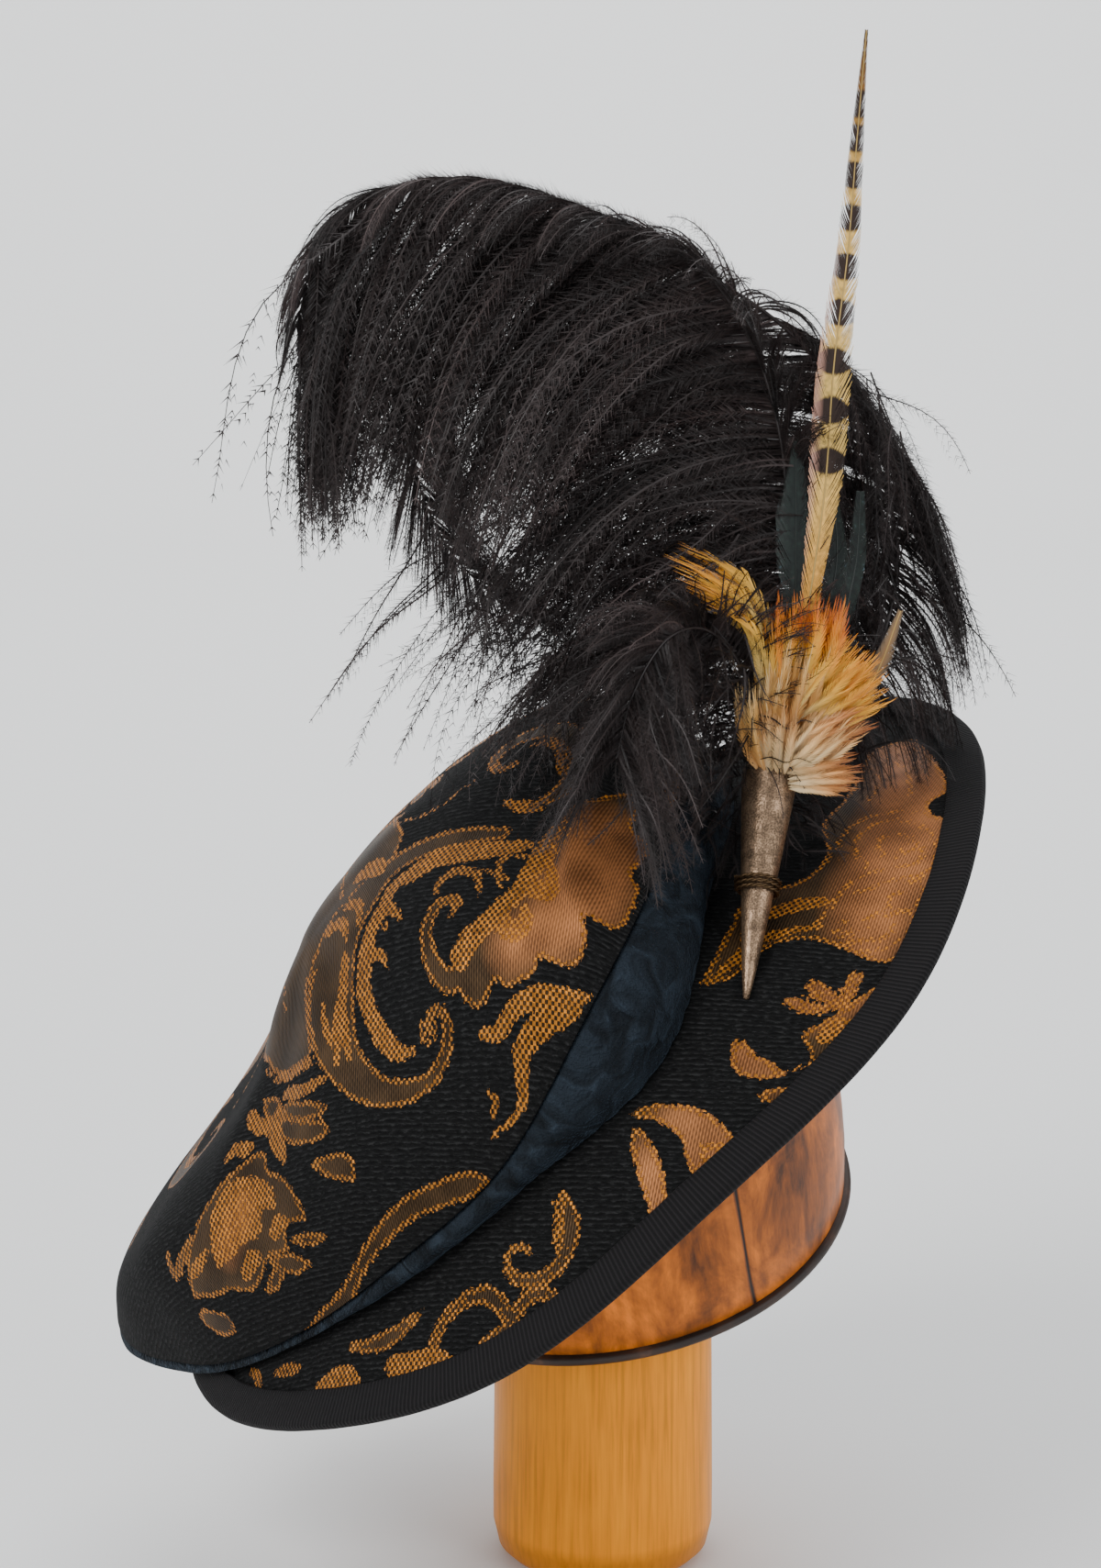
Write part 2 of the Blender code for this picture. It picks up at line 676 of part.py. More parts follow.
def make_hackles(trim):
    """Short feathers that stand out round a padded stem: each face of its upper part is drawn out to a lock."""
    path = [Vector(point) for point in HACKLE_PATH]
    rings = []
    for point, radius in zip(path, HACKLE_RADII):
        ring = []
        for k in range(HACKLE_SIDES):
            turn = 2 * math.pi * k / HACKLE_SIDES
            flat = HACKLE_FLATNESS if radius > 4 else 1
            ring.append(point + Vector((radius * math.cos(turn), radius * flat * math.sin(turn), 0)))
        rings.append(ring)
    bm = loft("hackles", rings)
    bmesh.ops.holes_fill(bm, edges=[edge for edge in bm.edges if edge.is_boundary])
    bmesh.ops.recalc_face_normals(bm, faces=bm.faces)
    bm.faces.ensure_lookup_table()
    up = (path[-1] - path[2]).normalized()
    for face in list(bm.faces)[HACKLE_SIDES : HACKLE_SIDES * (len(path) - 1)]:
        centre = face.calc_center_median()
        outward = face.normal
        if outward.y > 0.35:
            continue
        share = (centre / MM - path[1]).dot(up) / (path[-1] - path[1]).length
        heading = (outward * 0.7 + up * 0.9).normalized()
        across = up.cross(outward).normalized()
        corners = corner_sides(face, across, up)
        grow_lock(bm, face, corners, heading, heading.cross(across), 12 + 12 * share, 7, -0.1, thickness=(4, 3, 1.0))
    bmesh.ops.recalc_face_normals(bm, faces=bm.faces)
    new_part("hackles", mesh_from(bm, "hackles"), "hackle", trim)


def build():
    hat = new_frame("hat_frame", HAT_CENTRE, HAT_TURN)
    stand = new_frame("block_frame", BLOCK_BASE, BLOCK_TURN)
    trim = new_frame("trim_frame", TRIM_PLACE, (0, 0, 0))
    make_brim(hat)
    make_binding(hat)
    make_crown(hat)
    make_block(stand)
    make_bamboo(stand)
    make_cone(trim)
    make_wire(trim)
    make_blade("pheasant_feather", PHEASANT_PATH, PHEASANT_WIDTHS, "pheasant", trim, segments=14)
    for number, feather in enumerate(COCK_FEATHERS, 1):
        make_blade(f"cock_feather_{number}", feather["path"], feather["widths"], "cock", trim)
    make_blade("tan_feather", TAN_FEATHER_PATH, TAN_FEATHER_WIDTHS, "pheasant", trim)
    make_hackles(trim)
    for plume in PLUMES:
        make_plume(**plume, trim=trim)


clear_scene()
parts_collection = new_collection("tam_o_shanter")
cutters_collection = new_collection("cutters")
build()
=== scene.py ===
"""The looks of a slouched tam o' shanter in brocade, with a bell-shaped brim, ostrich plumes and a bouquet of
feathers in a leather cone, on a wooden hat block that stands on a bamboo foot.

Metres, +Z up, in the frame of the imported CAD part. Tables of sizes are in millimetres and are scaled by MM where
the shapes are made. The hat has a frame of its own: +X along its length towards the plumes, +Y to its far side,
+Z out of its crown. The feathers' points are measured from TRIM_PLACE."""

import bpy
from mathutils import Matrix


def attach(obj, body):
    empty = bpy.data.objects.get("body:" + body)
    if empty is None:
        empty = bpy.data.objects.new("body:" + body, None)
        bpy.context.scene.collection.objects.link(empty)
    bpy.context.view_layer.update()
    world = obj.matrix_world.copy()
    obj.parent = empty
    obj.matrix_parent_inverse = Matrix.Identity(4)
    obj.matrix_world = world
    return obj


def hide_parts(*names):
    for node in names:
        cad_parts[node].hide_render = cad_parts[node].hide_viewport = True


bl_info = {
    "name": "Slouched Tam o' Shanter",
    "version": (1, 0, 0),
    "blender": (4, 5, 0),
    "location": "View3D > Sidebar > Hat",
    "description": "Dresses the packed CAD hat in brocade, velvet, ribbon and feathers on its wooden stand",
    "category": "Object",
}

import math

import bmesh
import bpy
import numpy as np
from mathutils import Euler, Matrix, Vector, noise

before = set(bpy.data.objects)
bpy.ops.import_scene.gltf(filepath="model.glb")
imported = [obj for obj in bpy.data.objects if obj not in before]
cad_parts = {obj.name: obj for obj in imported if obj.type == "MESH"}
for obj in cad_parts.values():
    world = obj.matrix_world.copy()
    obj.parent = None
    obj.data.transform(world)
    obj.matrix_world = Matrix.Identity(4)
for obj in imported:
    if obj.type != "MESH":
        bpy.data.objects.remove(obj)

MM = 0.001
BODY = "root"
DOWN = np.array((0, 0, -1.0))

# Hat, as in the CAD
HAT_CENTRE = (-8.5, -30, 221.5)
HAT_TURN = (3, -40, 15)
BRIM_CENTRE = -3
BRIM_HALF_LENGTH = 191.5
BRIM_HALF_WIDTH = 161.5
BRIM_RISE = 45
BRIM_FLARE = 1.1
BRIM_WALL = 3
OPENING_CENTRE = -6
OPENING_HALF_LENGTH = 97
OPENING_HALF_WIDTH = 94
BRIM_LIFTS = (
    (0, -2), (30, 0), (60, -3), (90, 0), (120, 2), (150, 1), (180, 2), (210, 3.5), (240, -4), (270, 1.5), (300, -4), (330, 2),
)
BINDING_DEPTH = 12
BINDING_WALL = 1
GAP = 0.4

# The crown about its own centre: angle, reach of its seam, the seam's height, how far the velvet roll stands out,
# and the top's height at 90, 70 and 35 hundredths of the way out.
CROWN_CENTRE = -50
CROWN_TOP = 106
CLOTH_WALL = 2
CROWN_ROWS = (
    (0, 157, 66, 4, 98, 113, 115),
    (30, 147, 57, 4, 84, 100, 108),
    (60, 137, 46, 4, 69, 85, 100),
    (90, 135, 34, 4, 53, 69, 89),
    (120, 153, 20, 3, 32, 46, 75),
    (150, 180, 12, 3, 28, 45, 68),
    (180, 143, 12, 3, 50, 65, 79),
    (210, 118, 20, 3, 48, 68, 86),
    (240, 109, 31, 4, 54, 75, 95),
    (270, 114, 41, 5, 62, 82, 100),
    (300, 135, 68, 6, 87, 101, 111),
    (330, 139, 70, 5, 94, 108, 115),
)
TABLE_ANGLES = 360
TABLE_SHARES = 160

# Trim, as in the CAD
TRIM_PLACE = (0, 16.7, -3)
CONE_TIP = (48, -150, 272)
CONE_MOUTH = (58, -100, 341)
CONE_MOUTH_RADIUS = 10
CONE_TIP_RADIUS = 1
WIRE_TURNS = 3
WIRE_PITCH = 1.9
WIRE_RADIUS = 0.45
WIRE_AT = 0.5
PHEASANT_PATH = (
    (66, -100.9, 362), (70, -98.6, 392), (77, -93, 444), (80, -87, 488), (85, -78, 528), (88, -72, 567), (91, -68, 605),
)
PHEASANT_WIDTHS = (5, 7, 12.5, 12.5, 8.5, 5, 1.2)
COCK_FEATHERS = (
    dict(path=((64, -98.6, 372), (67, -96.6, 391), (67, -92, 424), (67, -86, 462)), widths=(4, 12, 16, 2)),
    dict(path=((69, -98.4, 372), (75, -94.8, 390), (82, -88, 416), (81, -82, 444)), widths=(4, 7, 8, 2)),
    dict(path=((73, -97.2, 372), (82, -93, 390), (89, -86, 415), (91, -80, 442)), widths=(4, 6, 7, 3)),
)
TAN_FEATHER_PATH = ((73.4, -103.4, 359), (88, -97, 364), (98, -90, 379), (106, -84, 399))
TAN_FEATHER_WIDTHS = (2, 4, 7, 2)
BLADE_FACING = (0, -1, 0.1)
PLUME_FACING = (0, -1, 0.15)

# Each plume: its quill, how many barbs it carries, and rows of the share along it, then the barbs' length, spread in
# degrees from the quill and droop, first on its inner side and then on its outer side.
PLUMES = (
    dict(
        name="plume_front",
        quill=(
            (59.5, -99.3, 343), (64.5, -95.4, 371), (67, -88, 393), (65, -78, 435), (61, -78, 466), (51, -80, 496),
            (31, -84, 524), (-5, -90, 542), (-47, -98, 554), (-79, -105, 551), (-101, -112, 533), (-109, -118, 506),
        ),
        barbs=1450,
        rows=(
            (0.07, 95, 86, 1.2, 30, 30, 0.3), (0.18, 128, 80, 1.4, 34, 24, 0.3), (0.35, 140, 68, 1.8, 44, 14, 1.2),
            (0.55, 142, 54, 1.6, 46, 8, 1.6), (0.75, 130, 46, 1.7, 46, 10, 1.7), (0.9, 108, 36, 1.8, 34, 16, 1.9),
            (1.0, 80, 26, 1.6, 30, 24, 1.6),
        ),
    ),
    dict(
        name="plume_back",
        quill=(
            (62.5, -94.8, 344), (73, -82, 350), (97, -48, 367), (110, -25, 406), (101, -15, 447), (78, -10, 483),
            (45, -10, 509), (0, -15, 527), (-42, -25, 520), (-68, -35, 487), (-71, -45, 447), (-59, -52, 417), (-38, -60, 396),
        ),
        barbs=1200,
        rows=(
            (0.08, 62, 46, 0.9, 40, 96, 1.6), (0.2, 92, 40, 0.9, 60, 112, 2.4), (0.34, 96, 40, 1.1, 66, 136, 3.0),
            (0.45, 90, 44, 1.1, 56, 152, 2.6), (0.5, 86, 44, 1.1, 6, 90, 2.0), (0.56, 84, 46, 1.1, 40, 8, 1.2),
            (0.75, 60, 40, 0.9, 46, 16, 0.8), (1.0, 40, 30, 0.6, 34, 26, 0.6),
        ),
    ),
    dict(
        name="plume_low",
        sway=0.6,
        quill=((54.4, -98.5, 345), (49, -101, 378), (35, -112, 397), (20, -128, 397), (8, -140, 380), (2, -146, 358)),
        barbs=360,
        rows=((0.15, 30, 70, 0.5, 30, 60, 0.5), (0.5, 58, 60, 0.9, 44, 56, 1.2), (1.0, 56, 34, 0.9, 50, 34, 1.0)),
    ),
)
QUILL_ROOT, QUILL_TIP = 1.1, 0.3

# Stand, as in the CAD
BAMBOO_PROFILE = (
    (0, 9), (36, 9), (37, 12), (35, 190), (42, 190), (44, 30), (44, 14), (42, 5), (38.5, 1.5), (34, 0), (0, 0),
)
BLOCK_HALF_LENGTH = 98
BLOCK_HALF_WIDTH = 84
BLOCK_SIDE = ((25, 1.02), (50, 1.025), (80, 1.008), (105, 0.972))
BLOCK_DOME = 84
BLOCK_SQUARENESS = 2.3
PLATE_THICKNESS = 4
PLATE_LIP = 2.5
BLOCK_BASE = (0, 26, 136)
BLOCK_TURN = (25.8, -8.6, 0)

# Camera and stage
CAMERA_TARGET = (-0.021, 0.026, 0.310)
CAMERA_DISTANCE = 1.453
CAMERA_ELEVATION = 13
CAMERA_LENS = 85
SENSOR = 36

UV_SPAN = 100  # mm of cloth to one unit of the UV map
CROWN_WEAVE = -48
BRIM_WEAVE = -50
BARB_STEPS = 10
BARB_TRIANGLES = 174
BARBULE_LENGTH = 4.6
FUZZ_COPIES = 3  # sets of barbules round each barb besides its own
LOCK_PITCH = 6
STRAY_SHARE = 0.035
PIECE_TRIANGLES = 190000
HACKLE_STEPS = 6
PINK_SIDE = -1
PHEASANT_LENGTH = 250
PHEASANT_BARS = (94, 112, 129.5, 147, 163.5, 181, 196, 209, 221)

# The brocade's figures in mm of cloth, measured from the crown's centre or the middle of the brim. A figure is a
# stroke, a row of (x, y, half width) with a smooth line through it, or an outline, a closed row of (x, y).
CROWN_SATIN = (
    # The great hook, its curled end first
    (
        (13, -91.5, 1.2), (12, -88, 1.5), (15, -86, 1.8), (19, -88, 2), (19.5, -93, 2.2), (14, -98, 2.6), (5, -99.5, 2.8),
        (-4, -97, 3.4), (-12, -91, 4.6), (-18, -82, 6), (-20.5, -71, 7.5), (-20, -60, 9), (-17, -50, 11), (-10, -38, 13),
        (0, -29, 13), (12, -25, 12), (24, -23, 10), (36, -21, 7), (46, -23, 5.5), (58, -31, 5), (70, -42, 4.5), (80, -53, 3),
    ),
    # The paler field above it
    (
        (-48, -6), (-47, -20), (-40, -32), (-29, -43), (-24, -36), (-18, -26), (-10, -16), (2, -10), (22, -8), (23, 6),
        (20, 24), (0, 32), (-30, 28), (-48, 12),
    ),
    # Small scroll
    (
        (45, -70.5, 1), (50, -69, 1.6), (49, -64, 2), (43, -61.5, 2.4), (36, -65, 2.8), (31, -71, 3.2), (28.5, -79, 3.8),
        (29.5, -87, 4.4), (38, -92, 4.5),
    ),
    ((58, -73, 0.8), (62, -64, 1.6), (58, -55, 2), (51, -52.5, 1.6), (47, -56, 1)),
    ((66, -77, 0.8), (70, -68, 1.6), (76, -66, 1.2), (80, -72, 0.8)),
    # Acanthus leaf
    (
        (30, -91), (29, -98), (33, -104), (42, -103), (45, -109), (56, -113), (60, -110), (66, -119), (74, -119), (81, -113),
        (84, -109), (92, -116), (103, -111), (111, -102), (111, -96), (119, -90), (126, -84), (123, -74), (130, -67),
        (130, -59), (112, -60), (100, -62), (86, -71), (73, -79), (56, -81), (42, -80), (34, -84),
    ),
    ((-129, -84, 1.5), (-112, -94, 2.5), (-98, -103, 3.5), (-85, -106.5, 2.6), (-70, -110, 3), (-55, -114, 3.8),
     (-42, -118.5, 4.2), (-30, -125, 4.6), (-18, -132, 4.6), (-11, -137, 1.6)),
    ((9, -127, 0.8), (14, -125, 1.6), (14, -121, 0.8)),
    # Flower on the near side
    ((-58, -22, 1), (-57, -28, 3.5), (-56.5, -33, 4.6), (-56, -36, 2)),
    ((-57, -42, 3), (-55, -52, 4.4), (-50, -62, 4.4), (-45, -69, 3), (-43, -72, 1)),
    ((-51, -42, 3), (-48, -50, 3.6), (-42, -60, 3), (-38, -65, 1)),
    ((-57, -73, 1.5), (-53, -80, 3.8), (-49, -87, 4.8), (-49, -93, 1.5)),
    # Leaf beside it
    (
        (-139, -28), (-132, -40), (-124, -50), (-119, -60), (-108, -65), (-101, -66), (-92, -75), (-88, -72), (-83, -72),
        (-76, -79), (-72, -71), (-70, -62), (-73, -50), (-70, -42), (-77, -35), (-95, -28), (-118, -25),
    ),
    ((-115, -68, 1.5), (-108, -71, 3), (-101, -74, 2)),
    ((-101, -68, 1.5), (-97, -78, 4.2), (-92, -86, 1.2)),
    ((-88, -76, 1), (-83, -83, 2.6), (-77, -90, 1.4)),
    ((-150, -28), (-144, -30), (-140, -38), (-139, -46), (-146, -47), (-152, -38)),
    ((-128, -12, 1), (-134, -18, 2), (-126, -22, 2.4), (-116, -24, 1)),
    # Scrolls on the far side of the bouquet
    (
        (96, -48, 1.2), (104, -50, 3), (114, -46, 4.5), (122, -38, 5.5), (125, -27, 6), (121, -16, 5.5), (112, -9, 4.5),
        (102, -8, 3.4), (95, -13, 2.4), (95, -20, 1.8), (101, -23, 1.2),
    ),
    ((146, -64, 1), (151, -55, 2.2), (157, -45, 3.4), (163, -36, 2)),
)
CROWN_TWILL = (
    # The scroll inside the hook, with its flames
    (
        (4, -88, 0.8), (-1.5, -82, 3), (-3, -75, 4.2), (-2, -66, 3.6), (0, -58, 3.6), (4, -50, 4), (12, -45, 4.4),
        (21, -41, 3.4), (30, -38, 3.4), (37, -33.5, 3), (46, -37, 4.6), (56, -40, 5), (64, -48, 5), (72, -57, 4.6),
        (80, -64, 3.4), (86, -68, 1.2),
    ),
    ((14, -48, 2.6), (17, -53, 1.6), (15.5, -58, 0.8)),
    ((30, -42, 3), (31, -47, 1.8), (30.5, -52, 0.8)),
    ((22, -45, 0.9), (25.5, -46, 0.9), (24.5, -49, 0.9)),
    ((6, -33, 2.4), (-3, -40, 3), (-11, -47, 3.4), (-18, -54, 2.4), (-23, -59, 1)),
    ((-8, -46, 2.4), (-13, -54, 2.6), (-18, -63, 0.9)),
    ((-12, -34, 1.2), (-17, -43, 1.6), (-20, -51, 0.8)),
    ((8, -14, 2.6), (14, -21, 2.6), (11, -30, 1)),
    ((20, -15, 2.4), (23, -24, 2.4), (18, -32, 1)),
    ((30, -4, 3), (36, -8, 5), (38, -15, 3.6)),
    # Along the top of the acanthus leaf, and its two lobes
    ((38, -86, 4.6), (52, -85.5, 4), (66, -85, 3.6), (78, -79, 4), (90, -73, 5.4), (98, -68, 4.6)),
    ((57, -90, 4), (58, -96, 4), (63, -97, 3.4), (67, -92, 1.6)),
    ((74, -86, 3.6), (77, -92, 4), (81, -90, 3), (84, -83, 2)),
    # Forked leaf at the seam
    ((26, -109, 1.8), (32, -114, 2.8), (42, -114.5, 3), (52, -119.5, 3.8), (60, -126.5, 3.6), (68, -131, 1)),
    ((3, -130, 0.8), (13, -133, 1.2), (22, -133.5, 1.8), (28, -129, 2.8), (34, -124.5, 3.6), (44, -125, 4.2),
     (54, -128.5, 3.6), (62, -131, 1.8)),
    # Flower
    ((-66, -20, 2.6), (-66, -28, 3.4), (-61, -38, 4), (-63, -47, 4), (-65, -56, 1.8)),
    ((-48, -36, 2.6), (-42, -46, 2.6), (-35, -53, 2.2), (-29, -58, 1)),
    ((-47, -22, 1.6), (-42, -32, 2), (-34, -41, 1.6), (-29, -48, 0.8)),
    ((-79, -24, 2), (-76, -30, 2.8), (-72, -34, 1)),
    ((-55, -37, 3), (-54, -44, 1.4)),
    # Leaf
    (
        (-119, -42), (-110, -35), (-98, -31), (-88, -33), (-82, -39), (-78, -48), (-77, -57), (-82, -62), (-87, -56),
        (-95, -59), (-101, -53), (-109, -49),
    ),
    ((-130, -28, 1.2), (-123, -32, 2.4), (-116, -35, 1.2)),
    ((-113, -56, 3), (-106, -58, 3.6), (-103, -60, 2.4)),
    ((-90, -66, 3), (-86, -67, 3.4), (-83, -70, 1.6)),
    ((-84, -24, 1.6), (-78, -26, 2.2), (-72, -32, 1)),
    ((110, -42, 1), (116, -33, 2.4), (117, -24, 2.4), (110, -17, 1)),
    ((88, -38, 1), (92, -46, 3.2), (97, -53, 1)),
)
CROWN_LINES = (
    ((-50, -8, 1), (-49, -20, 1), (-43, -32, 1), (-32, -44, 1), (-26, -45, 1), (-21, -33, 1), (-14, -23, 1), (-5, -14, 1),
     (4, -11, 1), (20, -11, 1), (38, -13, 1), (48, -18, 1), (62, -28, 1), (74, -41, 1)),
    ((12, -84, 0.9), (8, -88, 0.9), (11, -92, 0.9), (16, -90, 0.9), (15, -88, 0.9)),
    ((20, -5, 0.9), (24, 10, 0.9), (30, 22, 0.9)),
    ((54, 4, 0.9), (62, -6, 0.9), (72, -12, 0.9), (86, -14, 0.9)),
    ((61, -58, 0.9), (66, -66, 0.9), (70, -76, 0.9)),
)
BRIM_SATIN = (
    # The paisley at the back of the near side
    (
        (47, -105), (58, -111), (68, -108), (78, -109), (86, -114), (91, -122), (95, -135), (99, -143), (107, -145),
        (116, -142), (124, -135), (134, -125), (146, -115), (154, -107), (159, -97), (158, -86), (162, -77), (171, -75),
        (178, -56), (182, -36), (184, -12), (168, -10), (156, -30), (141, -48), (126, -60), (117, -80), (104, -86),
        (94, -84), (84, -80), (70, -91), (58, -99),
    ),
    # Flower
    ((42, -135, 2), (38.5, -143, 4.4), (41, -151, 3.6), (45, -157, 0.8)),
    ((65, -133, 2), (67, -139, 2.8), (71, -147, 1)),
    ((75, -134, 2.8), (75.5, -142, 3), (77, -151, 1)),
    ((88, -141, 2.6), (83, -144, 2.4), (79, -150, 1)),
    ((54, -160), (58, -151), (60, -147), (66, -149), (78, -150), (88, -150), (93, -155), (88, -160), (74, -163), (58, -167)),
    ((34, -158, 1.4), (38, -163, 3.4), (43, -167, 2)),
    # Leaf pair
    ((0, -130, 1.2), (6, -136, 3), (10, -145, 5), (11, -153, 6.8), (9, -161, 8.5), (8, -168, 8)),
    ((-3, -135, 1.2), (-6, -142, 3.6), (-9, -150, 4.2), (-13, -158, 4), (-16, -164, 3)),
    # Scrolls
    (
        (-58, -138, 1), (-58, -133, 1.3), (-63, -131, 1.6), (-67, -135, 2), (-67, -141, 2.4), (-62, -147, 2.8),
        (-54, -149.5, 3), (-46, -147, 3.6), (-40, -141, 3.8), (-36, -132, 1.4),
    ),
    (
        (-104, -142, 1), (-108, -135, 2), (-105, -129, 2.4), (-96, -126.5, 2.4), (-87, -128, 2.6), (-80, -133, 3.2),
        (-77.5, -140, 3.4), (-78, -148, 2.4),
    ),
    (
        (-92, -146, 1.4), (-86, -148, 2.5), (-80, -151, 2.8), (-73, -149, 2.8), (-66, -150, 2.8), (-62, -155, 2.4),
        (-61, -161, 1),
    ),
    ((-131, -96, 1.4), (-124, -105, 3), (-116, -111, 3.6), (-107, -114, 2.4), (-100, -116, 0.8)),
    ((-164, -61, 1.4), (-158, -69, 2.4), (-153, -76, 1)),
    ((-174, -40, 1), (-172, -48, 1.8), (-173, -57, 1)),
)
BRIM_TWILL = (
    ((64, -155, 3.4), (69, -154, 4), (72, -156, 3)),
    ((78, -159, 2.4), (84, -156, 3.4), (90, -154, 1.6)),
    ((57, -165, 1.6), (65, -163, 2), (75, -160.5, 0.8)),
    ((4, -164, 2), (9, -157, 1)),
    ((13, -165, 2.6), (10, -159, 1)),
    ((-122, -120, 4), (-117, -126, 4.8), (-110, -133, 5), (-105, -139, 2.4), (-100, -144, 0.8)),
    ((-151, -93, 2), (-144, -98, 4), (-139, -104, 4), (-137, -111, 1.4)),
    ((-48, -143, 2), (-42, -137, 2), (-39, -131, 1)),
    ((70, -98, 1), (82, -94, 2.6), (96, -98, 3.4), (103, -104, 2)),
    ((52, -106, 1), (62, -105, 2.4), (74, -103, 2.2), (86, -108, 2), (94, -113, 1)),
)
BRIM_LINES = (
    ((119, -86, 1), (124, -76, 1), (132, -70, 1), (143, -69, 1), (152, -75, 1), (158, -85, 1)),
    ((124, -98, 1), (125, -88, 1), (130, -79, 1), (140, -75, 1), (148, -81, 1), (151, -92, 1), (150, -103, 1), (144, -112, 1),
     (136, -117, 1), (130, -113, 1)),
    ((131, -97, 1), (135, -86, 1), (142, -88, 1), (144, -98, 1), (142, -107, 1), (135, -109, 1), (131, -104, 1)),
    ((134, -102, 1), (138, -98, 1), (140, -103, 1)),
    ((96, -117, 1), (95, -126, 1), (99, -134, 1), (106, -138, 1), (114, -137, 1), (121, -131, 1)),
    ((101, -116, 1), (99, -125, 1), (103, -131, 1), (109, -133, 1), (114, -128, 1), (112, -122, 1), (106, -121, 1),
     (105, -125, 1)),
    ((112, -107, 1), (119, -109, 1), (127, -112, 1), (131, -119, 1), (128, -127, 1), (121, -129, 1), (117, -123, 1),
     (121, -117, 1), (125, -120, 1)),
    ((90, -112, 1), (101, -107, 1), (110, -102, 1), (120, -100, 1), (127, -104, 1)),
    ((46, -158, 0.7), (54, -160, 0.7)),
    ((25, -165, 1.2), (32, -166, 1.2)),
    ((160, -66, 1), (167, -50, 1), (170, -34, 1), (168, -18, 1)),
    ((146, -58, 1), (156, -46, 1), (160, -30, 1), (156, -20, 1)),
)
# Where the satin's weft is brighter, copper rather than brown
CROWN_COPPER = (
    ((55, -100, 6), (74, -104, 12), (96, -94, 16), (112, -78, 12)),
    ((-110, -45, 1), (-92, -45, 3)),
)
BRIM_COPPER = (
    ((100, -132, 10), (122, -110, 16), (145, -90, 16), (168, -55, 16), (176, -20, 12)),
    ((38, -140, 8), (42, -150, 8)),
    ((70, -138, 10), (80, -146, 8)),
    ((8, -150, 12), (8, -164, 12)),
    ((-14, -158, 10), (-10, -150, 8)),
)
# The same figures again on the far side: degrees turned and mm moved after that
CROWN_REPEATS = ((0, 0, 0), (171, 6, 10))
BRIM_REPEATS = ((0, 0, 0), (178, -4, 0))
# Soft folds of the crown: lines of (x, y, half width), each with how far it stands out and how wide it fades
CROWN_FOLDS = (
    (((84, -118, 0), (86, -100, 1), (98, -80, 1), (110, -64, 0)), 4.2, 5),
    (((102, -112, 0), (105, -98, 1), (114, -82, 0)), 3.0, 4),
    (((-30, 6, 1), (10, 14, 2), (50, 8, 1)), 2.2, 14),
    (((-100, -30, 0), (-60, -10, 0)), 1.6, 12),
    (((-128, -60, 0), (-90, -88, 0), (-50, -98, 0)), 1.4, 9),
)

# Fluff: where it grows, how far its roots scatter across and up, count, length, heading, scatter of the heading, droop.
FLUFF = (
    ((50, -98, 352), (8, 8), 60, 34, (-0.6, -0.4, 0.3), 0.5, 1.0),
    ((42, -92, 364), (7, 9), 60, 28, (-0.4, -0.2, 0.1), 0.8, 0.8),
    ((66, -92, 330), (6, 10), 60, 24, (0.8, -0.2, -0.4), 0.5, 0.6),
    ((44, -97, 332), (6, 14), 60, 34, (-0.5, -0.4, -0.5), 0.5, 0.9),
    ((24, -110, 392), (14, 9), 50, 44, (-0.3, -0.3, -0.6), 0.6, 1.1),
    ((6, -108, 392), (18, 12), 66, 62, (-0.4, -0.2, -0.8), 0.4, 0.7),
    ((40, -103, 374), (9, 12), 60, 38, (-0.5, -0.5, 0.1), 0.7, 1.1),
    ((86, -80, 374), (8, 12), 40, 40, (0.6, 0.2, -0.1), 0.5, 1.4),
    ((39, -95, 362), (7, 10), 56, 32, (-0.1, -0.2, -0.5), 0.9, 0.6),
    ((65, -84, 416), (3, 14), 130, 92, (-0.95, -0.15, 0.05), 0.16, 0.8),
    ((104, -24, 425), (4, 18), 60, 56, (-0.1, -0.5, -0.7), 0.3, 1.2),
    ((92, -14, 462), (6, 10), 50, 60, (0.15, -0.5, -0.7), 0.25, 1.2),
    ((-8, -98, 428), (24, 10), 36, 92, (-0.6, -0.2, -0.7), 0.18, 0.5),
)
CURLY_BARBS = (
    ((56, -112, 372), (62, -116, 376), (70, -118, 380), (78, -118, 386), (84, -116, 394)),
    ((52, -110, 366), (58, -116, 366), (64, -118, 362), (68, -118, 366), (74, -117, 364)),
    ((54, -112, 350), (58, -117, 352), (63, -118, 350), (67, -118, 352), (72, -117, 350)),
)
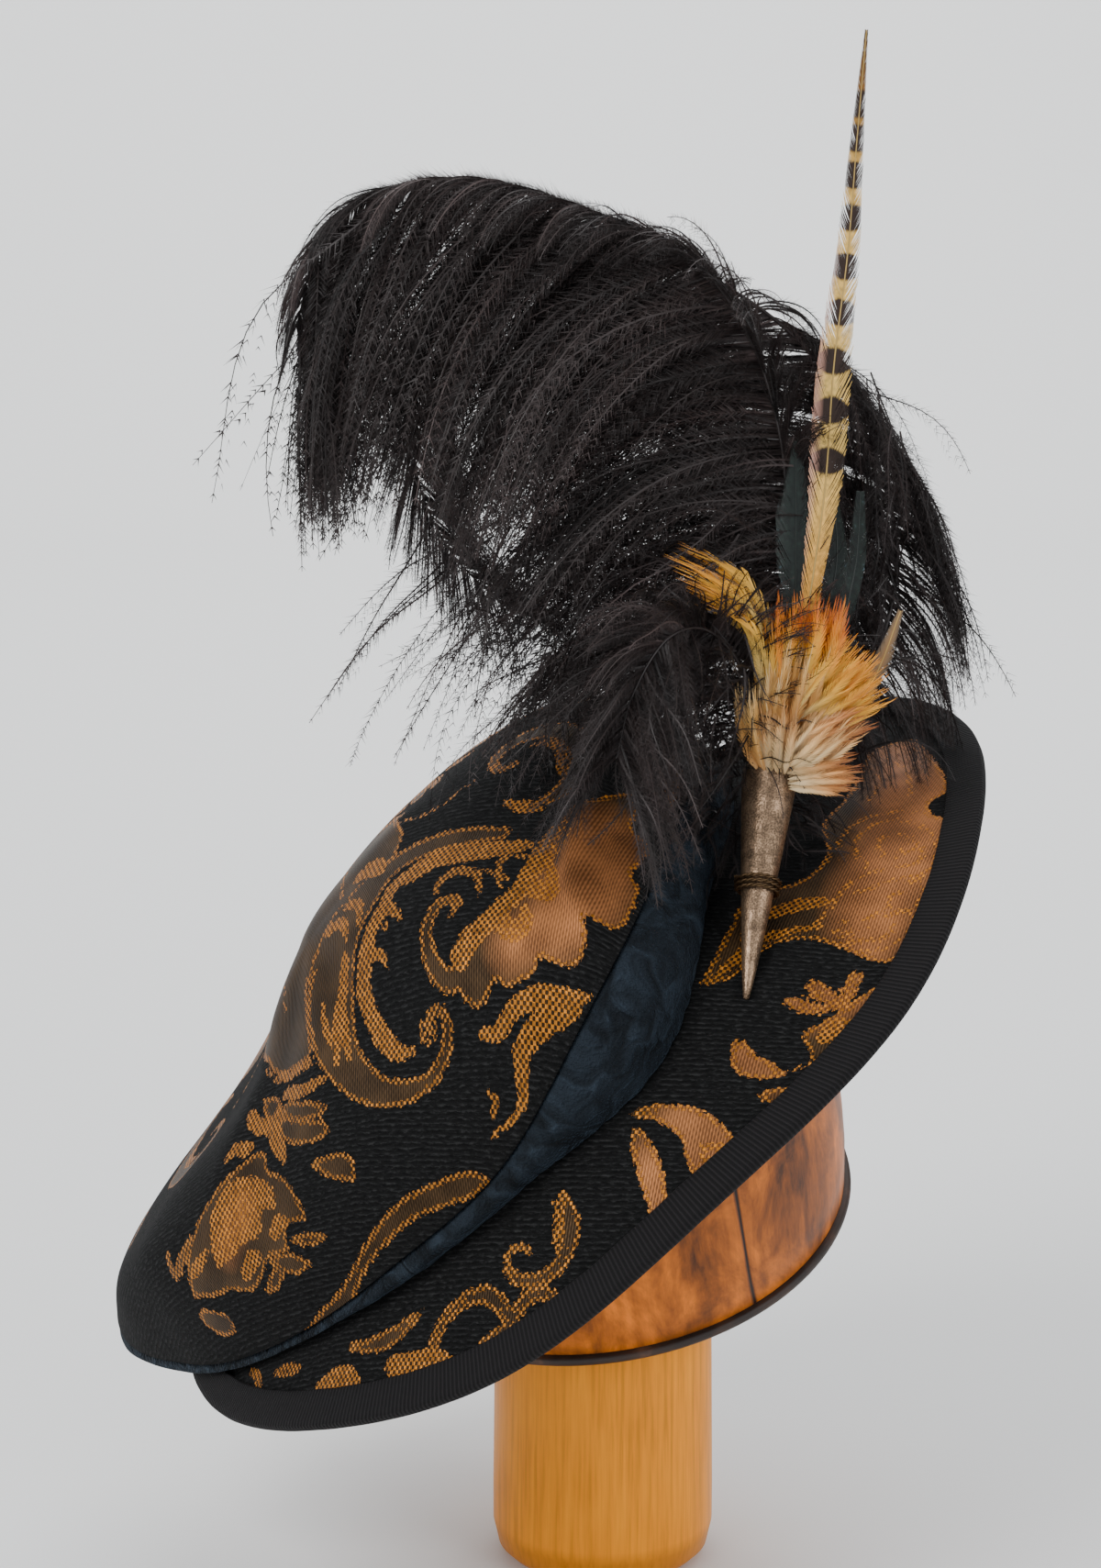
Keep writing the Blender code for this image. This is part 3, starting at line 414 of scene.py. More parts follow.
# Tufts: count, path from root to tip, how far it fans at root and tip, half width, and dyes from root to tip.
GOLD = ("#f0d890", "#ffcb55", "#ffa528", "#cf5f18")
YELLOW = ("#f4e0b4", "#fcd272", "#fabb3c", "#ef9a26")
TAN = ("#dca468", "#e4a556", "#ecb462", "#f4d49c")
CREAM = ("#e2bc86", "#f4d4a0", "#f0c080", "#d28f4c")
RUST = ("#f0d8ac", "#e8bc80", "#da9450", "#a65a24")
HACKLE_TUFTS = (
    (60, ((58, -100, 366), (55, -101, 392), (46, -102, 411), (24, -103, 422)), (4, 4), 1.7, YELLOW),
    (46, ((60, -99, 356), (57, -100, 378), (56, -101, 402)), (3, 5), 2.0, GOLD),
    (90, ((68, -99, 372), (71, -100, 390), (73, -100, 408)), (8, 14), 2.3, GOLD),
    (80, ((72, -102, 362), (82, -103, 376), (93, -103, 388)), (8, 11), 2.3, YELLOW),
    (60, ((70, -104, 358), (82, -106, 368), (98, -105, 376)), (6, 7), 1.9, YELLOW),
    (70, ((62, -104, 354), (66, -107, 372), (70, -107, 392)), (7, 12), 2.2, TAN),
    (60, ((57, -105, 344), (52, -109, 358), (50, -109, 376)), (3, 6), 1.9, TAN),
    (60, ((60, -107, 344), (60, -112, 358), (60, -112, 372)), (4, 8), 2.0, CREAM),
    (70, ((64, -106, 345), (74, -111, 355), (86, -109, 368)), (4, 9), 2.0, CREAM),
    (60, ((66, -107, 352), (78, -111, 360), (93, -108, 366)), (4, 7), 1.8, RUST),
    (64, ((64, -107, 342), (76, -111, 345), (90, -108, 346)), (4, 8), 1.8, RUST),
)
# Lights: place, the point they face, size across and up, and power in watts
SOFTBOXES = (
    ("key softbox", (-1.6, -1.7, 2.1), (0, 0, 0.3), (1.5, 1.5), 66),
    ("fill softbox", (1.9, -1.6, 1.2), (0, 0, 0.3), (1.6, 1.6), 22),
    ("top softbox", (0.2, 0.6, 2.6), (0, 0, 0.3), (2.0, 1.6), 30),
    ("backdrop softbox", (0, 1.8, 2.6), (0, 3.5, 0.6), (3.0, 1.2), 66),
)



# Colour and nodes


def linear(code, alpha=1.0):
    """An sRGB hex colour as the linear values that Blender's sockets hold."""
    channels = [int(code.lstrip("#")[k : k + 2], 16) / 255 for k in (0, 2, 4)]
    return (*(c / 12.92 if c <= 0.04045 else ((c + 0.055) / 1.055) ** 2.4 for c in channels), alpha)


def add_node(tree, kind, inputs=None, stops=None, **settings):
    """Adds a node. Settings are its properties, inputs are values or sockets to link from, and stops fill its ramp."""
    node = tree.nodes.new(kind)
    for name, value in settings.items():
        setattr(node, name, value)
    for key, value in (inputs or {}).items():
        if isinstance(value, bpy.types.NodeSocket):
            tree.links.new(value, node.inputs[key])
        else:
            node.inputs[key].default_value = value
    if stops:
        ramp = node.color_ramp.elements
        while len(ramp) < len(stops):
            ramp.new(1.0)
        for element, (place, colour) in zip(ramp, stops):
            element.position = place
            if isinstance(colour, str):
                colour = linear(colour)
            element.color = (colour, colour, colour, 1) if isinstance(colour, float) else colour
    return node


def new_material(name, **values):
    """A material with a Principled shader whose sockets hold these constant values."""
    material = bpy.data.materials.new(name)
    material.use_nodes = True
    tree = material.node_tree
    shader = tree.nodes["Principled BSDF"]
    for key, value in values.items():
        shader.inputs[key.replace("_", " ")].default_value = value
    return material, tree, shader


# Curves and tables


def curve_through(points, before_first=None, pieces=12):
    """Fine points of the smooth curve through the given ones, which lie along the last axis but one."""
    points = np.asarray(points, float)
    first = 2 * points[..., :1, :] - points[..., 1:2, :] if before_first is None else before_first
    last = 2 * points[..., -1:, :] - points[..., -2:-1, :]
    ends = np.concatenate([first, points, last], axis=-2)
    count = points.shape[-2] - 1
    before, start, end, after = (ends[..., k : k + count, None, :] for k in range(4))
    t = np.arange(pieces)[:, None] / pieces
    bend = 2 * before - 5 * start + 4 * end - after
    turn = 3 * (start - end) + after - before
    fine = start + 0.5 * t * (end - before + t * (bend + t * turn))
    fine = fine.reshape(*points.shape[:-2], -1, points.shape[-1])
    return np.concatenate([fine, points[..., -1:, :]], axis=-2)


def arc_lengths(fine, measured=3):
    steps = np.linalg.norm(np.diff(fine[..., :measured], axis=-2), axis=-1)
    return np.concatenate([np.zeros((*steps.shape[:-1], 1)), np.cumsum(steps, axis=-1)], axis=-1)


def evenly(fine, count, measured=3):
    """Count points evenly spaced along a fine curve. Its columns past the measured ones ride along."""
    lengths = arc_lengths(fine, measured)
    wanted = np.linspace(0, lengths[-1], count)
    return np.stack([np.interp(wanted, lengths, column) for column in fine.T], axis=1)


def smooth_path(points, count, measured=3):
    return evenly(curve_through(points), count, measured)


def unit(vectors):
    return vectors / np.maximum(np.linalg.norm(vectors, axis=-1, keepdims=True), 1e-9)


def around(rows, angle):
    """The columns of a table at these angles in degrees, smooth and closed round the ring."""
    table = np.array(rows, float)[:, 1:]
    place = np.asarray(angle, float) / 360 * len(table)
    first = np.floor(place).astype(int)
    t = (place - first)[..., None]
    before, start, end, after = (table[(first + k) % len(table)] for k in (-1, 0, 1, 2))
    bend = 2 * before - 5 * start + 4 * end - after
    turn = 3 * (start - end) + after - before
    return np.moveaxis(start + 0.5 * t * (end - before + t * (bend + t * turn)), -1, 0)


def sample(table, angle, share):
    """The table's values at any angle in degrees and share, straight between its entries. Its first axis goes round."""
    turns, columns = table.shape[:2]
    across, out = np.asarray(angle) / 360 * turns, np.clip(share, 0, 1) * (columns - 1)
    a, s = np.floor(across).astype(int), np.minimum(np.floor(out).astype(int), columns - 2)
    fa, fs = (across - a)[..., None], (out - s)[..., None]
    near, far = a % turns, (a + 1) % turns
    inner = table[near, s] * (1 - fa) + table[far, s] * fa
    outer = table[near, s + 1] * (1 - fa) + table[far, s + 1] * fa
    return inner * (1 - fs) + outer * fs


def even_table(curves, lengths, count):
    """Each fine curve at evenly spaced shares of its length, with the length so far as a last column."""
    shares = np.linspace(0, 1, count)
    rows = []
    for curve, length in zip(curves, lengths):
        wanted = shares * length[-1]
        rows.append(np.stack([*(np.interp(wanted, length, column) for column in curve.T), wanted], axis=1))
    return np.array(rows)


def ripple(points, size, seed=0.0):
    """Smooth noise from -1 to 1 at each point, with bumps of about this size in the points' own unit."""
    return np.array([noise.noise(Vector(point) / size + Vector((seed, seed * 0.7, -seed))) for point in points])


# The hat's frame and surfaces

HAT_AXES = np.array(Euler([math.radians(angle) for angle in HAT_TURN]).to_matrix())


def from_hat(points):
    return points @ HAT_AXES.T + np.array(HAT_CENTRE)


def brim_oval(share):
    centre = OPENING_CENTRE + (BRIM_CENTRE - OPENING_CENTRE) * share
    half_length = OPENING_HALF_LENGTH + (BRIM_HALF_LENGTH - OPENING_HALF_LENGTH) * share
    half_width = OPENING_HALF_WIDTH + (BRIM_HALF_WIDTH - OPENING_HALF_WIDTH) * share
    return centre, half_length, half_width


def brim_point(angle, share):
    """Points of the brim's upper face, from the head opening at share 0 to the edge at share 1."""
    centre, half_length, half_width = brim_oval(share)
    turn = np.radians(angle)
    height = BRIM_RISE * (1 - share) ** BRIM_FLARE + around(BRIM_LIFTS, angle)[0] * share**2
    return np.stack([centre + half_length * np.cos(turn), half_width * np.sin(turn), height], axis=-1)


def brim_share(x, y):
    """The angle and share of the brim under points of the plan. Past the edge the share stays 1."""
    low, high = np.zeros_like(x), np.ones_like(x)
    for _ in range(24):
        share = (low + high) / 2
        centre, half_length, half_width = brim_oval(share)
        outside = ((x - centre) / half_length) ** 2 + (y / half_width) ** 2 > 1
        low, high = np.where(outside, share, low), np.where(outside, high, share)
    return np.degrees(np.arctan2(y / half_width, (x - centre) / half_length)) % 360, share


def seat_height(x, y):
    """How high the crown's velvet lies over points of the plan: just clear of the brim, then of its binding."""
    angle, share = brim_share(x, y)
    over_binding = np.clip((share - 0.75) / 0.15, 0, 1)
    return brim_point(angle, share)[..., 2] + 0.8 + 1.7 * over_binding


def crown_outline(angle):
    """The crown's section at each of these angles: seven points from the top's centre over the seam and round the
    velvet roll to where the roll meets the brim."""
    reach, seam, roll, at90, at70, at35 = around(CROWN_ROWS, angle)
    way = np.stack([np.cos(np.radians(angle)), np.sin(np.radians(angle))], axis=-1)
    foot = seat_height(CROWN_CENTRE + (reach - 2) * way[:, 0], (reach - 2) * way[:, 1])
    out = np.stack([0 * reach, 0.35 * reach, 0.7 * reach, 0.9 * reach, reach, reach + 0.6 * roll, reach - 2], axis=-1)
    height = np.stack([0 * reach + CROWN_TOP, at35, at70, at90, seam, foot + 0.45 * (seam - foot), foot], axis=-1)
    plan = out[..., None] * way[:, None] + np.array((CROWN_CENTRE, 0))
    return np.concatenate([plan, height[..., None]], axis=-1)


def crown_top_table():
    """The crown's top by angle and share of the way to the seam: points, then the cloth's length so far."""
    outline = crown_outline(np.arange(TABLE_ANGLES) * 360 / TABLE_ANGLES)
    facing_side = np.roll(outline, TABLE_ANGLES // 2, axis=0)[:, 1:2]
    fine = curve_through(outline[:, :6], before_first=facing_side)[:, : 4 * 12 + 1]
    return even_table(fine, arc_lengths(fine), TABLE_SHARES)


def crown_band_table():
    """The velvet by angle and share of the way from the seam, round the roll and in to the head opening."""
    outline = crown_outline(np.arange(TABLE_ANGLES) * 360 / TABLE_ANGLES)
    roll = curve_through(outline[:, 3:7])[:, 12:]
    foot = outline[:, 6]
    foot_angle, _ = brim_share(foot[:, 0], foot[:, 1])
    turn = np.radians(foot_angle)
    rim_x = OPENING_CENTRE + (OPENING_HALF_LENGTH + 2) * np.cos(turn)
    rim_y = (OPENING_HALF_WIDTH + 2) * np.sin(turn)
    under = []
    for share in np.linspace(0, 1, 13)[1:]:
        x, y = foot[:, 0] + (rim_x - foot[:, 0]) * share, foot[:, 1] + (rim_y - foot[:, 1]) * share
        under.append(np.stack([x, y, seat_height(x, y)], axis=-1))
    fine = np.concatenate([roll, np.stack(under, axis=1)], axis=1)
    return even_table(fine, arc_lengths(fine), TABLE_SHARES)


def brim_table():
    """The brim's upper face by angle and share, with the cloth's length from the middle of the hat."""
    angle = np.arange(TABLE_ANGLES) * 360 / TABLE_ANGLES
    fine = np.stack([brim_point(angle, np.full_like(angle, share)) for share in np.linspace(0, 1, 65)], axis=1)
    table = even_table(fine, arc_lengths(fine), TABLE_SHARES)
    table[..., 3] += (OPENING_HALF_LENGTH + OPENING_HALF_WIDTH) / 2
    return table


# Pieces


def new_piece(name, mesh, material, slot, *stands_for):
    """Sets a finished mesh out as a piece that rides on the hat and stands for these CAD nodes."""
    piece = bpy.data.objects.new(name, mesh)
    bpy.context.scene.collection.objects.link(piece)
    mesh.materials.append(material)
    mesh.shade_smooth()
    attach(piece, BODY)
    if stands_for:
        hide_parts(*stands_for)
    return piece


def add_wall(piece, thickness):
    """Gives an open cloth its wall, on the side away from its normals."""
    wall = piece.modifiers.new("wall", "SOLIDIFY")
    wall.thickness = thickness * MM
    wall.offset = -1
    return wall


def add_round_edges(piece, width, segments=2):
    edges = piece.modifiers.new("round edges", "BEVEL")
    edges.width = width * MM
    edges.segments = segments
    edges.limit_method = "ANGLE"
    edges.angle_limit = math.radians(35)


def drawn_grid(across, out, place):
    """A grid of this many faces, whose corners' two shares from 0 to 1 place turns to points in mm."""
    bm = bmesh.new()
    bmesh.ops.create_grid(bm, x_segments=across, y_segments=out, size=1)
    corners = np.array([vert.co for vert in bm.verts])
    for vert, point in zip(bm.verts, place((corners[:, 0] + 1) / 2, (corners[:, 1] + 1) / 2) * MM):
        vert.co = point
    return bm


def mesh_from(bm, name):
    mesh = bpy.data.meshes.new(name)
    bm.to_mesh(mesh)
    bm.free()
    return mesh


def cloth_grid(name, across, out, shape, outward, closed=True, fields=None, weave=0.0):
    """A grid drawn out to a cloth. shape turns the grid's two shares to points of the hat's frame and to the
    cloth's own flat places in mm. fields turns those places to named values for each point."""
    flat = {}

    def place(u, v):
        points, flat["cloth"] = shape(u, v)
        return from_hat(points)

    bm = drawn_grid(across, out, place)
    cloth = flat["cloth"]
    turn = math.radians(weave)
    threads = cloth @ np.array(((math.cos(turn), -math.sin(turn)), (math.sin(turn), math.cos(turn)))) / UV_SPAN
    uv = bm.loops.layers.uv.new("cloth")
    for face in bm.faces:
        for loop in face.loops:
            loop[uv].uv = threads[loop.vert.index]
    for field, values in (fields(cloth) if fields else {}).items():
        layer = bm.verts.layers.float.new(field)
        for vert, value in zip(bm.verts, values):
            vert[layer] = value
    if closed:
        bmesh.ops.remove_doubles(bm, verts=bm.verts, dist=0.00001)
    bmesh.ops.recalc_face_normals(bm, faces=bm.faces)
    if facing_of(bm).dot(Vector(HAT_AXES @ np.array(outward))) < 0:
        bmesh.ops.reverse_faces(bm, faces=bm.faces)
    return mesh_from(bm, name)


def facing_of(bm):
    return sum((face.normal * face.calc_area() for face in bm.faces), Vector())


def rod(path, radii, facing, sides=8):
    """A closed round rod along a path of points."""
    ahead = unit(np.gradient(path, axis=0))
    side = unit(np.cross(ahead, facing))
    up = np.cross(ahead, side)

    def place(u, v):
        k = np.rint(v * (len(path) - 1)).astype(int)
        turn = 2 * math.pi * u[:, None]
        return path[k] + np.asarray(radii)[k, None] * (side[k] * np.cos(turn) + up[k] * np.sin(turn))

    bm = drawn_grid(sides, len(path) - 1, place)
    bmesh.ops.remove_doubles(bm, verts=bm.verts, dist=0.000001)
    bmesh.ops.holes_fill(bm, edges=[edge for edge in bm.edges if edge.is_boundary])
    bmesh.ops.recalc_face_normals(bm, faces=bm.faces)
    return bm


def polar(length, angle):
    turn = np.radians(angle)
    return np.stack([length * np.cos(turn), length * np.sin(turn)], axis=-1)


def nearness(places, figures):
    """How far each place of a cloth lies from the nearest figure's edge in mm, less than 0 inside it."""
    found = np.full(len(places), 60.0)
    for figure in figures:
        is_outline = len(figure[0]) == 2
        corners = np.array([(*point, 0) for point in (*figure, figure[0])] if is_outline else figure, float)
        path = smooth_path(corners, 6 * len(corners), measured=2)
        near = np.full(len(places), 60.0)
        inside = np.zeros(len(places), bool)
        for start, end in zip(path, path[1:]):
            run = end - start
            away = places - start[:2]
            share = np.clip(away @ run[:2] / max(run[:2] @ run[:2], 1e-6), 0, 1)
            gap = np.linalg.norm(away - share[:, None] * run[:2], axis=1)
            near = np.minimum(near, gap - start[2] - share * run[2])
            if is_outline and run[1]:
                passes = (places[:, 1] >= start[1]) != (places[:, 1] >= end[1])
                inside ^= passes & (away[:, 0] < run[0] * away[:, 1] / run[1])
        found = np.minimum(found, np.where(inside, -near, near))
    return found


def repeated(figures, repeats):
    """The figures once for each repeat, turned and moved."""
    result = []
    for degrees, x, y in repeats:
        cos, sin = math.cos(math.radians(degrees)), math.sin(math.radians(degrees))
        for figure in figures:
            result.append([(px * cos - py * sin + x, px * sin + py * cos + y, *rest) for px, py, *rest in figure])
    return result


def woven_fields(satin, twill, lines, copper, repeats):
    """How near each place is to the satin, the twill, the beaded lines and the copper."""
    figures = {"satin": satin, "twill": twill, "line": lines, "copper": copper}
    return lambda cloth: {name: nearness(cloth, repeated(rows, repeats)) for name, rows in figures.items()}


def crown_folds(cloth):
    """How far the crown's cloth stands out over its plain shape in mm."""
    rise = 0.9 * ripple(np.column_stack([cloth, 0 * cloth[:, 0]]), 34, 3.1)
    for path, height, width in CROWN_FOLDS:
        rise = rise + height * np.exp(-((np.maximum(nearness(cloth, [path]), 0) / width) ** 2))
    return rise


def make_crown_top(looks):
    table = crown_top_table()

    def shape(u, v):
        x, y = 2 * u - 1, 2 * v - 1
        plan = np.stack([x * np.sqrt(1 - y * y / 2), y * np.sqrt(1 - x * x / 2)], axis=-1)
        angle, share = np.degrees(np.arctan2(plan[:, 1], plan[:, 0])) % 360, np.linalg.norm(plan, axis=1)
        found = sample(table, angle, share)
        cloth = polar(found[:, 3], angle)
        points = found[:, :3]
        eased = 1 - share**6
        points[:, 2] += crown_folds(cloth) * eased
        puckers = ripple(np.column_stack([angle / 3.2, 0 * angle, 0 * angle]), 2.2, 5.0)
        points[:, 2] += 0.8 * puckers * np.clip((share - 0.86) / 0.14, 0, 1) * (1 - share**30)
        return points, cloth

    fields = woven_fields(CROWN_SATIN, CROWN_TWILL, CROWN_LINES, CROWN_COPPER, CROWN_REPEATS)
    mesh = cloth_grid("crown_top", 160, 160, shape, (0, 0, 1), closed=False, fields=fields, weave=CROWN_WEAVE)
    crown = new_piece("brocade_crown", mesh, brocade(looks), "brocade", "crown_top")
    add_wall(crown, CLOTH_WALL)


def make_crown_band(looks):
    table = crown_band_table()

    def shape(u, v):
        angle = u * 360
        found = sample(table, angle, v)
        points, length = found[:, :3], found[:, 3]
        out = polar(np.ones_like(angle), angle)
        creases = ripple(np.column_stack([angle * 2.4, length * 0.55, 0 * angle]), 17, 8.0)
        fine = ripple(np.column_stack([angle * 2.4, length, 0 * angle]), 7, 2.0)
        stand = (1.1 * creases + 0.35 * fine) * np.clip(length / 6, 0, 1) * np.clip((1 - v) * 5, 0, 1)
        tuck = -1.6 * np.exp(-((length / 1.5) ** 2))
        points[:, :2] += out * (stand * 0.8 + tuck)[:, None]
        points[:, 2] -= 0.5 * np.exp(-((length / 1.5) ** 2))
        return points, np.column_stack([angle * 2.4, length])

    mesh = cloth_grid("crown_band", 320, 30, shape, (0, 0, -1))
    band = new_piece("velvet_roll", mesh, velvet(looks), "velvet", "crown_band")
    add_wall(band, CLOTH_WALL * 0.8)


def make_brim(looks):
    table = brim_table()

    def shape(u, v):
        angle = u * 360
        found = sample(table, angle, v)
        cloth = polar(found[:, 3], angle)
        points = found[:, :3]
        points[:, 2] += 0.7 * ripple(np.column_stack([cloth, 0 * angle]), 30, 6.0) * np.clip((1 - v) * 8, 0, 1)
        return points, cloth

    fields = woven_fields(BRIM_SATIN, BRIM_TWILL, BRIM_LINES, BRIM_COPPER, BRIM_REPEATS)
    mesh = cloth_grid("brim", 360, 40, shape, (0, 0, 1), fields=fields, weave=BRIM_WEAVE)
    brim = new_piece("brocade_brim", mesh, brocade(looks), "brocade", "brim")
    add_wall(brim, BRIM_WALL)


def make_binding(looks):
    """A grosgrain ribbon folded over the brim's edge."""
    inner = BRIM_WALL / 2 + GAP + BINDING_WALL
    bend = [(GAP + 0.3 + inner * 0.62 * math.cos(a), inner * math.sin(a)) for a in np.radians((60, 30, 0, -30, -60))]
    upper = [(-BINDING_DEPTH, inner - 0.5), (-BINDING_DEPTH + 0.6, inner), (-8, inner), (-4, inner), (-0.4, inner)]
    section = np.array([*upper, *bend, *((out, -height) for out, height in reversed(upper))])
    across = arc_lengths(section, 2)

    def shape(u, v):
        angle = u * 360
        edge = brim_point(angle, np.ones_like(angle))
        outward = unit(edge - brim_point(angle, np.full_like(angle, 0.8)))
        run = unit(brim_point(angle + 1, np.ones_like(angle)) - brim_point(angle - 1, np.ones_like(angle)))
        upward = unit(np.cross(outward, run))
        place = np.rint(v * (len(section) - 1)).astype(int)
        wobble = 0.35 * ripple(np.column_stack([angle * 3, 0 * angle, 0 * angle]), 14, 4.0)
        out = section[place, 0] + wobble * np.where(section[place, 0] < -6, 1, 0.3)
        points = edge - upward * BRIM_WALL / 2 + outward * out[:, None] + upward * section[place, 1][:, None]
        return points, np.column_stack([u * 1110, across[place]])

    mesh = cloth_grid("brim_binding", 420, len(section) - 1, shape, (0, 0, 1))
    bm = bmesh.new()
    bm.from_mesh(mesh)
    bmesh.ops.recalc_face_normals(bm, faces=bm.faces)
    middle = Vector(from_hat(np.array((BRIM_CENTRE, 0, 0)))) * MM
    rim = max(bm.faces, key=lambda face: (face.calc_center_median() - middle).length)
    if rim.normal.dot(rim.calc_center_median() - middle) < 0:
        bmesh.ops.reverse_faces(bm, faces=bm.faces)
    bm.to_mesh(mesh)
    bm.free()
    binding = new_piece("grosgrain_binding", mesh, grosgrain(looks), "ribbon", "brim_binding")
    add_wall(binding, BINDING_WALL)


# Feathers


def spines(roots, headings, lengths, droops, steps, sway, seed):
    """The line of each barb: points from its root, bending towards the ground and swaying with smooth noise."""
    rng = np.random.default_rng(seed)
    points, heading = [roots], unit(headings)
    drift = rng.normal(0, 1, (len(roots), 3)) * sway[:, None]
    turn = rng.normal(0, 1, (len(roots), 3)) * sway[:, None]
    for k in range(steps):
        share = (k + 0.5) / steps
        pull = DOWN * (droops * (0.5 + share) / steps)[:, None]
        heading = unit(heading + pull + (drift * math.sin(2.2 * share * math.pi) + turn * share) / steps)
        points.append(points[-1] + heading * (lengths / steps)[:, None])
    return np.stack(points, axis=1)


def barb_shape(segments, barbules, seed, width=0.85):
    """A barb laid out flat, or only the barbules of one where it has no segments: for each of its points the share
    along it, then mm across and up, and its faces."""
    rng = np.random.default_rng(seed)
    points, faces = [], []
    for k in range(segments + 1 if segments else 0):
        share = k / segments
        half = width * (1 - 0.72 * share) / 2
        points += [(share, -half, 0), (share, half, 0)]
        if k:
            faces.append((2 * k - 2, 2 * k - 1, 2 * k + 1, 2 * k))
    for k in range(barbules // 2):
        share = 0.03 + 0.96 * (k + rng.uniform(0.1, 0.9)) / (barbules / 2)
        reach = BARBULE_LENGTH * min(1, share * 7) * (1 - 0.62 * share)
        first = len(points)
        points += [(share - 0.0026, 0, 0), (share + 0.0026, 0, 0)]
        for side in (-1, 1):
            long = reach * rng.uniform(0.45, 1.25)
            points.append((share, side * long, rng.uniform(-0.6, 0.6) * long))
        faces += [(first, first + 1, first + 2), (first + 1, first, first + 3)]
    return np.array(points), faces


def bent_copies(shape, lines, across, reach_scale, forward):
    """Copies of a flat shape bent along many lines. across holds the way to each line's side at each step, and
    forward how far a point leans ahead for each mm that it stands off the line."""
    steps = lines.shape[1] - 1
    place = shape[:, 0] * steps
    k = np.minimum(place.astype(int), steps - 1)
    t = (place - k)[None, :, None]
    ahead = unit(np.diff(lines, axis=1))
    up = unit(np.cross(ahead, across))
    base = lines[:, k] * (1 - t) + lines[:, k + 1] * t
    off = np.hypot(shape[:, 1], shape[:, 2])
    scale = reach_scale[:, None, None]
    lean = (off * forward)[None, :, None]
    offset = across[:, k] * shape[None, :, 1:2] + up[:, k] * shape[None, :, 2:3] + ahead[:, k] * lean
    thin = np.where(off > 0.4, 1.0, 0.0)[None, :, None]
    points = base + offset * (scale * thin + 1 - thin)
    return points


def mesh_of_copies(name, points, faces, values):
    """One mesh of many copies of the same faces. values are named numbers for each copy's points."""
    copies, size = points.shape[:2]
    corners = np.array([corner for face in faces for corner in face])
    counts = np.array([len(face) for face in faces])
    every = (corners[None] + (np.arange(copies) * size)[:, None]).ravel()
    totals = np.tile(counts, copies)
    mesh = bpy.data.meshes.new(name)
    mesh.vertices.add(copies * size)
    mesh.vertices.foreach_set("co", (points.reshape(-1, 3) * MM).astype(np.float32).ravel())
    mesh.loops.add(len(every))
    mesh.loops.foreach_set("vertex_index", every.astype(np.int32))
    mesh.polygons.add(len(totals))
    mesh.polygons.foreach_set("loop_start", (np.cumsum(totals) - totals).astype(np.int32))
    mesh.update(calc_edges=True)
    for key, numbers in values.items():
        wide = numbers.ndim == 3
        layer = mesh.attributes.new(key, "FLOAT_COLOR" if wide else "FLOAT", "POINT")
        layer.data.foreach_set("color" if wide else "value", numbers.astype(np.float32).ravel())
    mesh.validate()
    return mesh


def side_ways(lines, facing, roll):
    """The way to the side of each line at each step: square to the facing way, rolled round the line by an angle."""
    ahead = unit(np.diff(lines, axis=1))
    flat = unit(np.cross(ahead, facing))
    up = np.cross(ahead, flat)
    return flat * np.cos(roll)[:, None, None] + up * np.sin(roll)[:, None, None]


def barb_mesh(name, lines, facing, tone, seed):
    """Each line as one quill-like thread with barbules, and more barbules close round it."""
    rng = np.random.default_rng(seed)
    pieces = []
    for copy in range(1 + FUZZ_COPIES):
        shape, faces = barb_shape(0 if copy else 12, 38 if copy else 36, seed + copy)
        own = lines
        if copy:
            drift = rng.normal(0, 0.45, (len(lines), 1, 3)) * np.linspace(0.3, 1.6, lines.shape[1])[None, :, None]
            keep = rng.uniform(0.82, 1.0, len(lines))[:, None, None]
            own = lines[:, :1] + (lines - lines[:, :1]) * keep + drift
        lengths = arc_lengths(own)[:, -1]
        reach = np.clip(lengths / 50, 0.4, 1.0) * rng.uniform(0.75, 1.2, len(lines))
        ways = side_ways(own, facing, rng.uniform(-1.2, 1.2, len(lines)))
        points = bent_copies(shape, own, ways, reach, 1.25)
        tones = np.repeat(tone[:, None] + rng.normal(0, 0.06, (len(lines), 1)), len(shape), axis=1)
        pieces.append(mesh_of_copies(name, points, faces, {"tone": tones}))
    joined = bmesh.new()
    for mesh in pieces:
        joined.from_mesh(mesh)
        bpy.data.meshes.remove(mesh)
    return mesh_from(joined, name)


